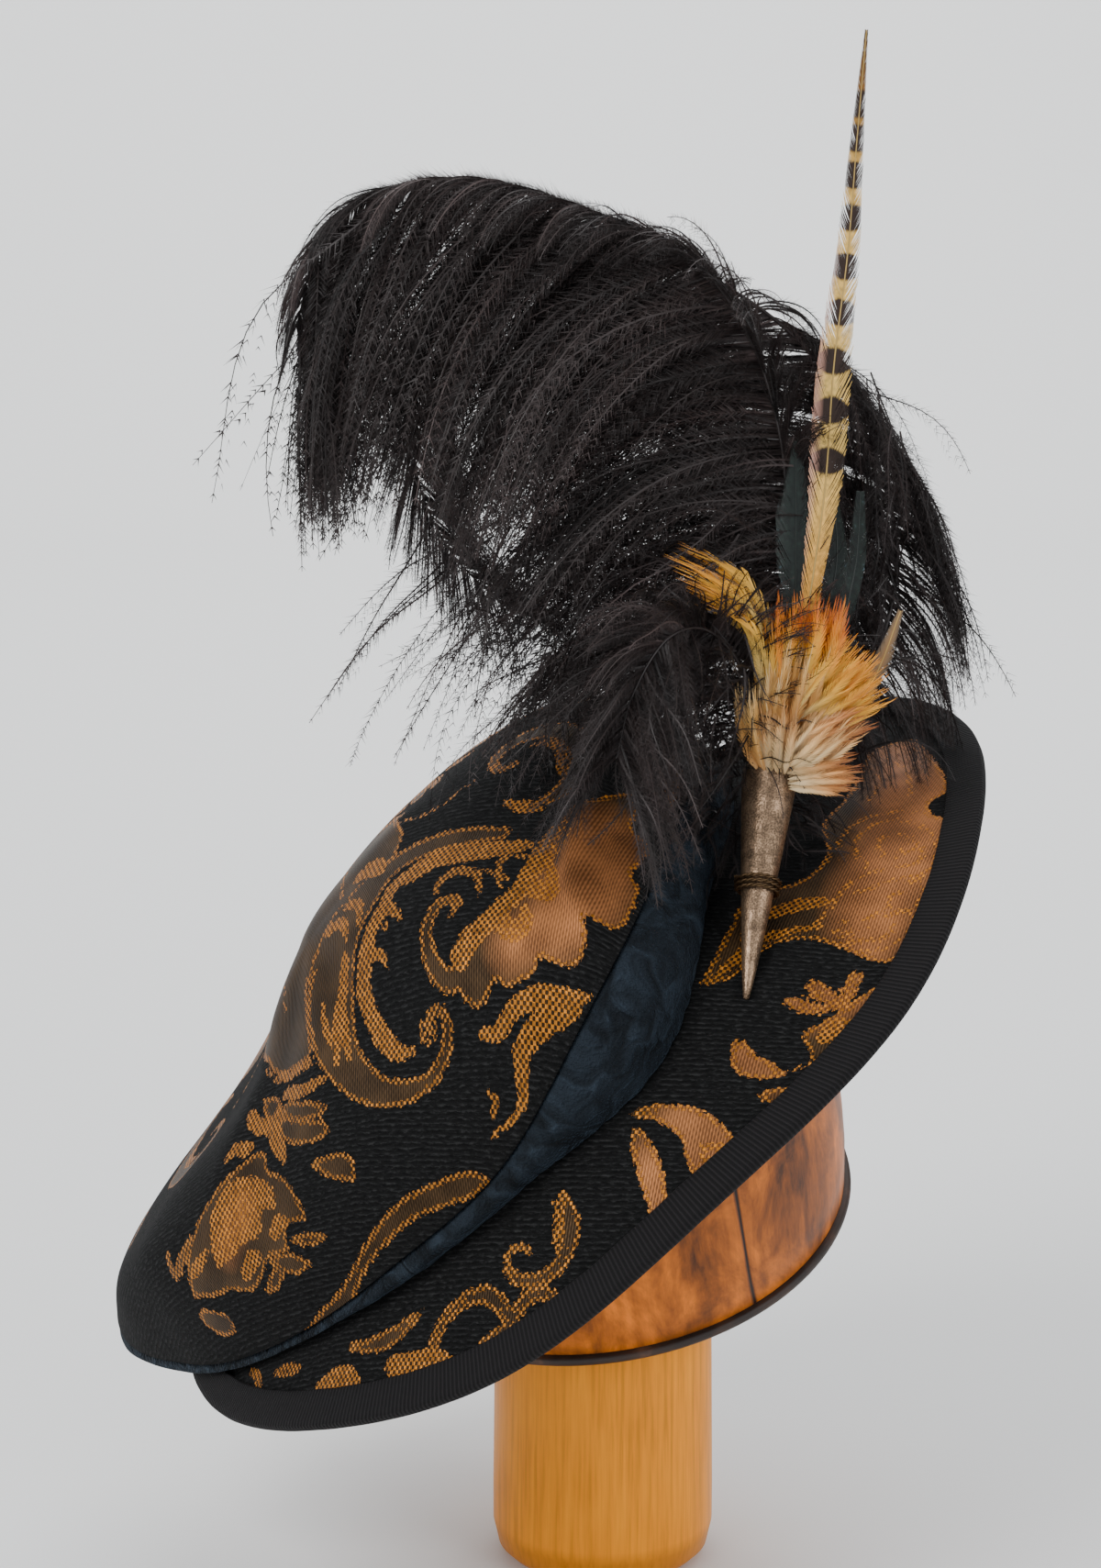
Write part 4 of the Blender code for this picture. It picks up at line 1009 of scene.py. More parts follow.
def plume_lines(quill, barbs, rows, facing, sway, seed):
    """The lines of a plume's barbs, longer ones on its inner side. Neighbours gather to locks towards their tips."""
    rng = np.random.default_rng(seed)
    path = smooth_path(quill, 241)
    length = arc_lengths(path)[-1]
    ahead_all = unit(np.gradient(path, axis=0))
    columns = np.array(rows).T
    first = columns[0][0]
    fine = np.linspace(first, 1, 400)
    chance = np.cumsum(np.interp(fine, columns[0], columns[1] + columns[4] + 30))
    share = np.interp((np.arange(barbs) + rng.uniform(0, 1, barbs)) / barbs * chance[-1], chance, fine)
    lengths = [np.interp(share, columns[0], columns[k]) + 22 for k in (1, 4)]
    inner = rng.uniform(0, 1, barbs) < lengths[0] / (lengths[0] + lengths[1])

    def grown(share, random, long, bends):
        """Lines from these shares of the quill, each pushed off the plume's plain shape by five random numbers."""
        sides = (np.interp(share, columns[0], column) for column in columns[1:])
        inner_long, inner_spread, inner_droop, outer_long, outer_spread, outer_droop = sides
        place = share * 240
        k = np.clip(place.astype(int), 0, 239)
        t = (place - k)[:, None]
        root = path[k] * (1 - t) + path[k + 1] * t
        ahead = unit(ahead_all[k] * (1 - t) + ahead_all[k + 1] * t)
        side = unit(np.cross(facing, ahead)) * np.where(inner, 1, -1)[:, None]
        angle = np.radians(np.where(inner, inner_spread, outer_spread))[:, None] + random[:, :1] * 0.11
        forward = np.where(inner, 0.1, 0.4)[:, None] + 0.3 * random[:, 3:4]
        heading = ahead * np.cos(angle) + side * np.sin(angle) + facing * forward
        droop = np.where(inner, inner_droop, outer_droop) * (1 + 0.22 * random[:, 1])
        long = long * np.where(inner, inner_long, outer_long) * (1 + 0.1 * random[:, 2])
        return spines(root, heading, long, droop, BARB_STEPS, bends * (1 + 0.3 * np.abs(random[:, 4])), seed)

    locks = np.floor(share * length / LOCK_PITCH).astype(int) * 2 + inner
    lock_random = np.clip(rng.normal(0, 1, (locks.max() + 1, 5)), -1.4, 1.4)[locks]
    own = rng.normal(0, 1, (barbs, 5))
    strays = rng.uniform(0, 1, barbs) < STRAY_SHARE
    random = np.where(strays[:, None], np.clip(own * 1.3, -1.6, 1.6), 0.75 * lock_random + 0.4 * own)
    lines = grown(share, random, rng.uniform(0.7, 1.06, barbs) + 0.06 * strays, np.where(strays, 0.6, sway))
    centre = np.clip((locks // 2 + 0.5) * LOCK_PITCH / length, first, 1)
    middle = grown(centre, lock_random * 0.75, np.full(barbs, 0.95), np.zeros(barbs))
    pull = np.where(strays, 0, rng.uniform(0.1, 0.6, barbs))[:, None, None]
    pull = pull * np.linspace(0, 1, BARB_STEPS + 1)[None, :, None] ** 1.4
    tone = 0.5 + 0.16 * lock_random[:, 1] + 0.14 * own[:, 0]
    return lines * (1 - pull) + middle * pull, tone


def trimmed(points):
    return np.asarray(points, float) + np.array(TRIM_PLACE)


def make_plume(looks, plume, seed):
    facing = unit(np.array(PLUME_FACING))
    quill = trimmed(plume["quill"])
    path = smooth_path(quill, 90)
    bm = rod(path, np.linspace(QUILL_ROOT, QUILL_TIP, 90), facing)
    name = plume["name"] + "_quill"
    new_piece(name, mesh_from(bm, name), quill_horn("dyed ostrich", looks.plume), "plume")
    barbs = round(plume["barbs"] * looks.fullness)
    lines, tone = plume_lines(quill, barbs, plume["rows"], facing, plume.get("sway", 0.28), seed)
    parts = np.array_split(np.arange(len(lines)), max(1, math.ceil(len(lines) * BARB_TRIANGLES / PIECE_TRIANGLES)))
    for number, part in enumerate(parts, 1):
        name = f"{plume['name']}_barbs_{number}"
        mesh = barb_mesh(name, lines[part], facing, tone[part], seed + number)
        new_piece(name, mesh, ostrich_barbs(looks), "plume", *([plume["name"]] if number == 1 else []))


def make_fluff(looks):
    """Soft short barbs round the foot of the plumes, and the few that curl over the bouquet."""
    rng = np.random.default_rng(31)
    lines, tones = [], []
    for (x, y, z), (across, up), count, long, heading, spread, droop in FLUFF:
        root = trimmed(np.array((x, y, z)) + rng.normal(0, 1, (count, 3)) * np.array((across, 4, up)))
        way = np.array(heading) + rng.normal(0, spread, (count, 3))
        lengths = long * rng.uniform(0.6, 1.15, count)
        lines.append(spines(root, way, lengths, np.full(count, droop), BARB_STEPS, np.full(count, 0.8), 3))
        tones.append(rng.uniform(0.2, 0.7, count))
    for points in CURLY_BARBS:
        lines.append(smooth_path(trimmed(points), BARB_STEPS + 1)[None])
        tones.append(np.array((0.15,)))
    lines, tones = np.concatenate(lines), np.concatenate(tones)
    mesh = barb_mesh("plume_fluff", lines, unit(np.array(PLUME_FACING)), tones, 5)
    new_piece("plume_fluff", mesh, ostrich_barbs(looks), "plume")


def vane(name, path, widths, facing, barbs, lean, curl=0.0, split=0.05, seed=1):
    """Both vanes of a feather as fine barbs, side by side along its quill. The attributes "along" and "across" hold the
    place along the quill and across the vane in mm, and "out" the share of the way to the edge."""
    rng = np.random.default_rng(seed)
    facing = unit(np.array(facing, float))
    fine = smooth_path(path, 200)
    length = arc_lengths(fine)[-1]
    ahead_all = unit(np.gradient(fine, axis=0))
    shares = np.linspace(0, 1, len(widths))
    points, outs, alongs, acrosses = [], [], [], []
    rows = np.linspace(0, 1, 5)
    pitch = length / barbs
    for side in (-1, 1):
        start = (np.arange(barbs) + rng.uniform(-0.2, 0.2, barbs)) / barbs
        half = np.interp(start, shares, widths) / 2
        reach = half / math.sin(math.radians(lean))
        gather = np.cumsum(rng.uniform(0, 1, barbs) < split) % 2 * 0.12
        out = rows[None, :]
        forward = (reach * math.cos(math.radians(lean)))[:, None] * (out**1.15)
        place = np.clip(start[:, None] + forward / length, 0, 1)
        limit = np.interp(place, shares, widths) / 2
        across = np.minimum(half[:, None] * out, limit * (0.35 + 0.65 * out)) * side
        across = across * (1 + gather[:, None] * rng.uniform(-1, 1, (barbs, 1)))
        k = np.clip((place * 199).astype(int), 0, 198)
        t = (place * 199 - k)[..., None]
        base = fine[k] * (1 - t) + fine[k + 1] * t
        ahead = unit(ahead_all[k] * (1 - t) + ahead_all[k + 1] * t)
        sideways = unit(np.cross(ahead, facing))
        front = np.cross(sideways, ahead)
        lift = curl * (np.abs(across) / 6) ** 2 + rng.normal(0, 0.12, (barbs, 1)) * out
        centre = base + sideways * across[..., None] + front * lift[..., None]
        width = pitch * 0.62 * (1.15 - 0.55 * out[..., None])
        points.append(np.stack([centre - ahead * width, centre + ahead * width], axis=2).reshape(barbs, -1, 3))
        outs.append(np.repeat(np.broadcast_to(out, across.shape), 2, axis=1))
        alongs.append(np.repeat(place * length, 2, axis=1))
        acrosses.append(np.repeat(across, 2, axis=1))
    faces = [(2 * k, 2 * k + 1, 2 * k + 3, 2 * k + 2) for k in range(len(rows) - 1)]
    values = {"out": np.concatenate(outs), "along": np.concatenate(alongs), "across": np.concatenate(acrosses)}
    mesh = mesh_of_copies(name, np.concatenate(points), faces, values)
    return mesh, fine, length


def make_feather(looks, name, path, widths, material, slot, node, barbs, lean, quill=0.5, **shape):
    path = trimmed(path)
    mesh, fine, _ = vane(name, path, widths, BLADE_FACING, barbs, lean, **shape)
    new_piece(name, mesh, material, slot, node)
    facing = unit(np.array(BLADE_FACING, float))
    radii = np.linspace(quill, 0.15, 60)
    bm = rod(smooth_path(path, 60), radii, facing, sides=6)
    new_piece(name + "_quill", mesh_from(bm, name + "_quill"), quill_horn(slot, looks.cock if slot == "cock" else shade(looks.straw, 0.6)), slot)


def hackle_shape(barbs=14):
    """One hackle laid out flat: share along it, then shares of its width across and of its lift, and its faces."""
    points, faces = [], []
    for k in range(barbs):
        root, tip = 0.9 * k / barbs, min(1, 0.9 * k / barbs + 0.24)
        wide = math.sin(math.pi * min(1, tip * 0.96) ** 0.8) ** 0.8
        for side in (-1, 1):
            first = len(points)
            points += [(root, 0, 0), (root + 0.1, 0, 0), (tip, side * wide, 0.25), (tip - 0.03, side * wide * 0.92, 0.25)]
            faces.append((first, first + 1, first + 2, first + 3))
    return np.array(points), faces


def make_hackles(looks):
    """Small lance-shaped feathers in tufts that fan out of the cone's mouth, each with its own dye from root to tip."""
    rng = np.random.default_rng(12)
    shape, faces = hackle_shape()
    lines, across, wide, dyes = [], [], [], []
    for count, path, fan, width, dye in HACKLE_TUFTS:
        path = trimmed(path)
        aim = rng.uniform(-1, 1, (count, 1))
        depth = rng.normal(0, 1, (count, 1))
        long = rng.uniform(0.72, 1.08, (count, 1))
        spine = smooth_path(path, HACKLE_STEPS + 1)
        sideways = unit(np.cross(spine[-1] - spine[0], (0, 1, 0)))
        tuft = []
        for k, point in enumerate(spine):
            share = k / HACKLE_STEPS
            tuft.append(
                path[0] + (point - path[0]) * long
                + sideways * aim * (fan[0] + (fan[1] - fan[0]) * share)
                + np.array((0, 1, 0)) * depth * (2 + 4 * share)
                + rng.normal(0, 0.35, (count, 3)) * share
            )
        tuft = np.stack(tuft, axis=1)
        lines.append(tuft)
        across.append(side_ways(tuft, (0, -1, 0), rng.normal(0, 0.5, count)))
        wide.append(width * rng.uniform(0.75, 1.2, count))
        colours = np.array([linear(code)[:3] for code in dye])
        shift = rng.normal(0, 0.10, (count, 1))
        place = np.clip(shape[None, :, 0] + shift, 0, 1)
        dye_at = np.stack([np.interp(place, np.linspace(0, 1, len(dye)), colours[:, c]) for c in range(3)], axis=-1)
        shade = rng.uniform(0.72, 1.15, (count, 1, 1)) * rng.uniform(0.85, 1.1, (count, len(shape), 1))
        dyes.append(np.concatenate([np.clip(dye_at * shade, 0, 1), np.ones((*dye_at.shape[:2], 1))], axis=-1))
    lines, across, wide = np.concatenate(lines), np.concatenate(across), np.concatenate(wide)
    scaled = bent_copies(shape, lines, across, wide, 0.0)
    mesh = mesh_of_copies("hackles", scaled, faces, {"dye": np.concatenate(dyes)})
    new_piece("hackle_feathers", mesh, hackle(looks), "hackle", "hackles")


# Cone


def cone_radius(share):
    return CONE_TIP_RADIUS + (CONE_MOUTH_RADIUS - CONE_TIP_RADIUS) * share**0.85


def cone_axes():
    tip, mouth = trimmed(CONE_TIP), trimmed(CONE_MOUTH)
    axis = unit(mouth - tip)
    side = unit(np.cross(axis, (0, 1, 0)))
    return tip, mouth - tip, side, np.cross(axis, side)


def make_cone(looks):
    """A leather gore rolled to a cone, with its free edge lapped over the front."""
    tip, run, side, front = cone_axes()

    def place(u, v):
        share = v
        turn = math.radians(205) + u * 2 * math.pi * 1.16
        radius = cone_radius(share) * (0.92 + 0.15 * u) + 0.25 * np.maximum(0, u - 0.9) * 10 * share
        radius = radius + 0.25 * np.sin(turn * 2 + 3 * share) * share
        lip = 2.2 * np.sin(turn + 0.6) * share**6
        ways = side * np.cos(turn)[:, None] + front * np.sin(turn)[:, None]
        return tip + run * share[:, None] + unit(run) * lip[:, None] + ways * radius[:, None]

    bm = drawn_grid(72, 32, place)
    bmesh.ops.recalc_face_normals(bm, faces=bm.faces)
    middle = Vector(tip + run * 0.5) * MM
    outer = max(bm.faces, key=lambda face: (face.calc_center_median() - middle).length if abs((face.calc_center_median() - middle).dot(Vector(run))) < 0.0003 else 0)
    if outer.normal.dot(outer.calc_center_median() - middle) < 0:
        bmesh.ops.reverse_faces(bm, faces=bm.faces)
    cone = new_piece("leather_cone", mesh_from(bm, "leather_cone"), bronze_leather(looks), "bronze_leather", "cone")
    add_wall(cone, 0.8)


def make_wire(looks):
    """Two strands twisted together and wound round the cone."""
    tip, run, side, front = cone_axes()
    per_turn = 48
    count = WIRE_TURNS * per_turn + 1
    turn = 2 * math.pi * np.arange(count) / per_turn
    share = WIRE_AT + (turn / (2 * math.pi) - WIRE_TURNS / 2) * WIRE_PITCH / np.linalg.norm(run)
    radius = cone_radius(share) * 1.09 + 2 * WIRE_RADIUS + 0.3
    outward = side * np.cos(turn)[:, None] + front * np.sin(turn)[:, None]
    core = tip + run * share[:, None] + outward * radius[:, None]
    joined = bmesh.new()
    for strand in (0, math.pi):
        twist = turn * 9 + strand
        path = core + (outward * np.cos(twist)[:, None] + unit(run) * np.sin(twist)[:, None]) * WIRE_RADIUS
        mesh = mesh_from(rod(path, np.full(count, WIRE_RADIUS), unit(run), sides=6), "strand")
        joined.from_mesh(mesh)
        bpy.data.meshes.remove(mesh)
    new_piece("twisted_wire", mesh_from(joined, "twisted_wire"), dark_brass_wire(looks), "wire", "cone_wire")


# Stand


def spun(profile, steps=96):
    """A closed body turned from a profile of (radius, height) points in mm."""
    bm = bmesh.new()
    points = [bm.verts.new((radius * MM, 0, height * MM)) for radius, height in profile]
    edges = [bm.edges.new(pair) for pair in zip(points, points[1:])]
    bmesh.ops.spin(bm, geom=points + edges, cent=(0, 0, 0), axis=(0, 0, 1), angle=2 * math.pi, steps=steps, use_merge=True)
    bmesh.ops.remove_doubles(bm, verts=bm.verts, dist=0.000001)
    bmesh.ops.recalc_face_normals(bm, faces=bm.faces)
    return bm


def keep_grain(bm):
    """Notes each point's place in the wood before the piece is tilted, so that the grain runs straight in it."""
    grain = bm.verts.layers.float_vector.new("grain")
    for vert in bm.verts:
        vert[grain] = vert.co


def block_matrix():
    return Matrix.Translation(Vector(BLOCK_BASE) * MM) @ Euler([math.radians(a) for a in BLOCK_TURN]).to_matrix().to_4x4()


def make_block(looks):
    """The oval block that the hat sits on, and the thin plate under it."""
    shoulder, shoulder_share = BLOCK_SIDE[-1]
    dome = []
    for k in range(16):
        turn = math.radians(90 * k / 16)
        out, up = math.sin(turn) ** (2 / BLOCK_SQUARENESS), math.cos(turn) ** (2 / BLOCK_SQUARENESS)
        dome.append((BLOCK_HALF_LENGTH * shoulder_share * out, shoulder + BLOCK_DOME * up))
    side = curve_through([(BLOCK_HALF_LENGTH * share, height) for height, share in reversed(BLOCK_SIDE)], pieces=4)
    base = PLATE_THICKNESS + 0.1
    lip = BLOCK_HALF_LENGTH + PLATE_LIP
    for name, node, profile, material, slot, edge in (
        ("wooden_block", "hat_block", [*dome, *side, (BLOCK_HALF_LENGTH, base), (0, base)], block_wood(looks), "block_wood", 1.2),
        ("wooden_plate", "block_plate", [(0, PLATE_THICKNESS), (lip, PLATE_THICKNESS), (lip, 0), (0, 0)], plate_wood(looks), "plate_wood", 1.4),
    ):
        bm = spun(profile, 128)
        bmesh.ops.scale(bm, verts=bm.verts, vec=(1, BLOCK_HALF_WIDTH / BLOCK_HALF_LENGTH, 1))
        keep_grain(bm)
        bmesh.ops.transform(bm, verts=bm.verts, matrix=block_matrix())
        piece = new_piece(name, mesh_from(bm, name), material, slot, node)
        add_round_edges(piece, edge)


def make_bamboo(looks):
    """A bamboo cup whose rim is cut on the slant under the block's plate."""
    bm = spun(BAMBOO_PROFILE, 128)
    keep_grain(bm)
    base = block_matrix()
    normal = base.to_3x3() @ Vector((0, 0, 1))
    cut = bmesh.ops.bisect_plane(
        bm, geom=[*bm.verts, *bm.edges, *bm.faces], plane_co=base.translation - normal * 0.1 * MM, plane_no=normal, clear_outer=True,
    )
    rim = [edge for edge in cut["geom_cut"] if isinstance(edge, bmesh.types.BMEdge)]
    bmesh.ops.bridge_loops(bm, edges=rim)
    bmesh.ops.recalc_face_normals(bm, faces=bm.faces)
    bamboo = new_piece("bamboo_foot", mesh_from(bm, "bamboo_foot"), polished_bamboo(looks), "bamboo", "bamboo_stand")
    add_round_edges(bamboo, 0.7)


# Materials. Each is named for what the real one is and how its surface was made.


def shade(colour, factor):
    """A colour made darker or lighter by a factor."""
    return (*(min(1.0, channel * factor) for channel in colour[:3]), 1.0)


def cloth_places(tree):
    """The cloth's own flat places in mm."""
    uv = add_node(tree, "ShaderNodeUVMap", uv_map="cloth")
    return add_node(tree, "ShaderNodeVectorMath", {0: uv.outputs[0], "Scale": UV_SPAN}, operation="SCALE").outputs[0]


def brocade(looks):
    """Jacquard-woven brocade: a matte ribbed ground of black chenille, figures of brown and copper satin, gold
    twill, and rows of thick gold weft along the figures' edges."""
    existing = bpy.data.materials.get("jacquard brocade")
    if existing:
        return existing
    material, tree, shader = new_material("jacquard brocade", Specular_IOR_Level=0.15)
    place = cloth_places(tree)
    axes = add_node(tree, "ShaderNodeSeparateXYZ", {0: place})
    x, y = axes.outputs[0], axes.outputs[1]
    satin, twill, line, copper = (
        add_node(tree, "ShaderNodeAttribute", attribute_name=name).outputs["Fac"] for name in ("satin", "twill", "line", "copper")
    )

    # The weave's steps: a figure's edge can only move by one group of warp threads and one weft.
    rib = looks.rib_pitch / MM
    cell = add_node(tree, "ShaderNodeVectorMath", {0: place, 1: (1.1, 0.8 * rib, 1)}, operation="SNAP")
    scatter = add_node(tree, "ShaderNodeTexWhiteNoise", {"Vector": cell.outputs[0]}, noise_dimensions="2D").outputs["Value"]
    step = add_node(tree, "ShaderNodeMath", {0: scatter, 1: 1.2, 2: -0.6}, operation="MULTIPLY_ADD").outputs[0]
    in_satin = add_node(tree, "ShaderNodeMath", {0: satin, 1: step}, operation="LESS_THAN").outputs[0]
    in_twill = add_node(tree, "ShaderNodeMath", {0: twill, 1: step}, operation="LESS_THAN").outputs[0]
    in_line = add_node(tree, "ShaderNodeMath", {0: line, 1: step}, operation="LESS_THAN").outputs[0]
    stepped = add_node(tree, "ShaderNodeMath", {0: satin, 1: step}, operation="SUBTRACT").outputs[0]
    on_edge = add_node(tree, "ShaderNodeMath", {0: stepped, 1: -0.8, 2: 0.95}, operation="COMPARE").outputs[0]
    border = add_node(tree, "ShaderNodeMath", {0: on_edge, 1: in_line}, operation="MAXIMUM").outputs[0]
    # Gold weft shows as short floats in staggered rows, 1.4 mm from row to row, close in the twill and open in a border.
    across = add_node(tree, "ShaderNodeMath", {0: x, 1: 2 * math.pi / 2.5}, operation="MULTIPLY").outputs[0]
    along = add_node(tree, "ShaderNodeMath", {0: y, 1: 2 * math.pi / 2.8}, operation="MULTIPLY").outputs[0]
    across = add_node(tree, "ShaderNodeMath", {0: across}, operation="SINE").outputs[0]
    along = add_node(tree, "ShaderNodeMath", {0: along}, operation="SINE").outputs[0]
    floats = add_node(tree, "ShaderNodeMath", {0: across, 1: along}, operation="MULTIPLY").outputs[0]
    twill_floats = add_node(tree, "ShaderNodeMapRange", {"Value": floats, 1: -0.25, 2: 0.12}).outputs[0]
    border_floats = add_node(tree, "ShaderNodeMapRange", {"Value": floats, 1: -0.1, 2: 0.2}).outputs[0]
    twill_gold = add_node(tree, "ShaderNodeMath", {0: in_twill, 1: twill_floats}, operation="MULTIPLY").outputs[0]
    border_gold = add_node(tree, "ShaderNodeMath", {0: border, 1: border_floats}, operation="MULTIPLY").outputs[0]
    gold = add_node(tree, "ShaderNodeMath", {0: twill_gold, 1: border_gold}, operation="MAXIMUM").outputs[0]
    woven = add_node(tree, "ShaderNodeMath", {0: in_satin, 1: in_twill}, operation="MAXIMUM").outputs[0]
    woven = add_node(tree, "ShaderNodeMath", {0: woven, 1: in_line}, operation="MAXIMUM").outputs[0]

    # Ground: chenille weft, with cut pile that stands up in short broken strands along soft ribs.
    lying = add_node(tree, "ShaderNodeMapping", {"Vector": place, "Scale": (0.35, 1.1, 1)})
    strands = add_node(
        tree, "ShaderNodeTexNoise", {"Vector": lying.outputs[0], "Scale": 0.9, "Detail": 4.0, "Roughness": 0.7}
    ).outputs["Fac"]
    phase = add_node(tree, "ShaderNodeMath", {0: strands, 1: 8.0}, operation="MULTIPLY").outputs[0]
    phase = add_node(tree, "ShaderNodeMath", {0: y, 1: 2 * math.pi / rib, 2: phase}, operation="MULTIPLY_ADD").outputs[0]
    rib_relief_and_shade = add_node(tree, "ShaderNodeMath", {0: phase}, operation="SINE").outputs[0]
    pile = add_node(tree, "ShaderNodeMath", {0: rib_relief_and_shade, 1: 0.07, 2: strands}, operation="MULTIPLY_ADD").outputs[0]
    # The ground's colour follows the pile's height: painted shade in the rib valleys, painted highlight on the standing
    # strands.
    ground = add_node(
        tree, "ShaderNodeValToRGB", {"Fac": pile},
        [(0.34, shade(looks.ground, 0.2)), (0.53, looks.ground), (0.7, shade(looks.ground, 4.5))],
    )
    # Satin: fine warp threads, 1.1 mm apart here, wider than the real ones so that they show.
    thread = add_node(tree, "ShaderNodeMath", {0: x, 1: 2 * math.pi / 1.1}, operation="MULTIPLY").outputs[0]
    thread = add_node(tree, "ShaderNodeMath", {0: thread}, operation="SINE").outputs[0]
    # Slow patches of lighter and darker satin: a painted sheen for the satin's shifting lustre.
    patch = add_node(tree, "ShaderNodeTexNoise", {"Vector": place, "Scale": 0.05, "Detail": 3.0}).outputs["Fac"]
    tone = add_node(tree, "ShaderNodeMath", {0: thread, 1: 0.17, 2: patch}, operation="MULTIPLY_ADD").outputs[0]
    tone = add_node(tree, "ShaderNodeMath", {0: floats, 1: 0.09, 2: tone}, operation="MULTIPLY_ADD").outputs[0]
    brown = add_node(
        tree, "ShaderNodeValToRGB", {"Fac": tone},
        [(0.25, shade(looks.satin, 0.35)), (0.55, looks.satin), (0.8, shade(looks.satin, 1.9))],
    )
    bright = add_node(
        tree, "ShaderNodeValToRGB", {"Fac": tone},
        [(0.25, shade(looks.copper, 0.4)), (0.55, looks.copper), (0.8, shade(looks.copper, 1.5))],
    )
    copper_share = add_node(tree, "ShaderNodeMapRange", {"Value": copper, 1: 8.0, 2: -6.0}).outputs[0]
    figure = add_node(
        tree, "ShaderNodeMix", {0: copper_share, 6: brown.outputs[0], 7: bright.outputs[0]}, data_type="RGBA"
    ).outputs[2]
    gold_tone = add_node(
        tree, "ShaderNodeValToRGB", {"Fac": scatter},
        [(0.0, shade(looks.gold, 0.55)), (0.5, looks.gold), (1.0, shade(looks.gold, 1.45))],
    )
    base = add_node(tree, "ShaderNodeMix", {0: woven, 6: ground.outputs[0], 7: figure}, data_type="RGBA")
    colour = add_node(tree, "ShaderNodeMix", {0: gold, 6: base.outputs[2], 7: gold_tone.outputs[0]}, data_type="RGBA")
    tree.links.new(colour.outputs[2], shader.inputs["Base Color"])
    lustre = add_node(tree, "ShaderNodeMath", {0: woven, 1: gold}, operation="MAXIMUM").outputs[0]
    roughness = add_node(tree, "ShaderNodeMath", {0: lustre, 1: -0.42, 2: 0.92}, operation="MULTIPLY_ADD").outputs[0]
    metallic = add_node(tree, "ShaderNodeMath", {0: lustre, 1: 0.55}, operation="MULTIPLY").outputs[0]
    tree.links.new(roughness, shader.inputs["Roughness"])
    tree.links.new(metallic, shader.inputs["Metallic"])
    fine = add_node(tree, "ShaderNodeMath", {0: thread, 1: 0.08, 2: 0.15}, operation="MULTIPLY_ADD").outputs[0]
    height = add_node(tree, "ShaderNodeMix", {0: woven, 2: pile, 3: fine}, data_type="FLOAT").outputs[0]
    raised = add_node(tree, "ShaderNodeMath", {0: gold, 1: 0.45, 2: height}, operation="MULTIPLY_ADD").outputs[0]
    bump = add_node(tree, "ShaderNodeBump", {"Strength": 0.85, "Distance": 1.0 * MM, "Height": raised})
    tree.links.new(bump.outputs[0], shader.inputs["Normal"])
    return material


def velvet(looks):
    """Crushed and embossed velvet: its pile lies in patches, so it is near black face on and lit along its turns. Its
    crushed patches are also painted lighter and darker in its colour, a painted sheen.
    """
    material, tree, shader = new_material(
        "crushed velvet", Roughness=0.8, Sheen_Weight=0.3, Sheen_Roughness=0.35, Specular_IOR_Level=0.15,
        Sheen_Tint=shade(looks.velvet, 14),
    )
    place = add_node(tree, "ShaderNodeTexCoord").outputs["Object"]
    warp = add_node(tree, "ShaderNodeTexNoise", {"Vector": place, "Scale": 28.0, "Detail": 2.0})
    bent = add_node(tree, "ShaderNodeVectorMath", {0: warp.outputs["Color"], "Scale": 0.05}, operation="SCALE")
    moved = add_node(tree, "ShaderNodeVectorMath", {0: place, 1: bent.outputs[0]}, operation="ADD")
    crush_and_sheen = add_node(
        tree, "ShaderNodeTexNoise", {"Vector": moved.outputs[0], "Scale": 100.0, "Detail": 5.0, "Distortion": 0.8}
    ).outputs["Fac"]
    pile = add_node(tree, "ShaderNodeTexNoise", {"Vector": place, "Scale": 900.0, "Detail": 1.0}).outputs["Fac"]
    # Painted sheen: the crushed patches are lighter and darker in the colour itself, and the same noise gives the bump.
    colour = add_node(
        tree, "ShaderNodeValToRGB", {"Fac": crush_and_sheen},
        [(0.32, shade(looks.velvet, 0.3)), (0.5, looks.velvet), (0.64, shade(looks.velvet, 2.0)), (0.78, shade(looks.velvet, 3.8))],
    )
    tree.links.new(colour.outputs[0], shader.inputs["Base Color"])
    height = add_node(tree, "ShaderNodeMath", {0: crush_and_sheen, 1: 4.0, 2: pile}, operation="MULTIPLY_ADD")
    bump = add_node(tree, "ShaderNodeBump", {"Strength": 1.0, "Distance": 1.3 * MM, "Height": height.outputs[0]})
    tree.links.new(bump.outputs[0], shader.inputs["Normal"])
    return material


def grosgrain(looks):
    """Woven grosgrain ribbon: matte, with cross ribs 1.7 mm apart, painted lighter on their crests and darker in their
    valleys as painted light and shade.
    """
    material, tree, shader = new_material(
        "woven grosgrain ribbon", Roughness=0.8, Specular_IOR_Level=0.2
    )
    place = cloth_places(tree)
    rib_relief_and_shade = add_node(
        tree, "ShaderNodeTexWave", {"Vector": place, "Scale": 0.314 / 1.7, "Distortion": 0.4, "Detail": 1.0, "Detail Scale": 0.4},
        bands_direction="X",
    ).outputs["Fac"]
    # Painted highlight on the ribs' crests and painted shade in their valleys.
    colour = add_node(
        tree, "ShaderNodeValToRGB", {"Fac": rib_relief_and_shade},
        [(0.0, shade(looks.ribbon, 0.4)), (0.55, looks.ribbon), (1.0, shade(looks.ribbon, 1.9))],
    )
    tree.links.new(colour.outputs[0], shader.inputs["Base Color"])
    bump = add_node(tree, "ShaderNodeBump", {"Strength": 1.0, "Distance": 0.6 * MM, "Height": rib_relief_and_shade})
    tree.links.new(bump.outputs[0], shader.inputs["Normal"])
    return material


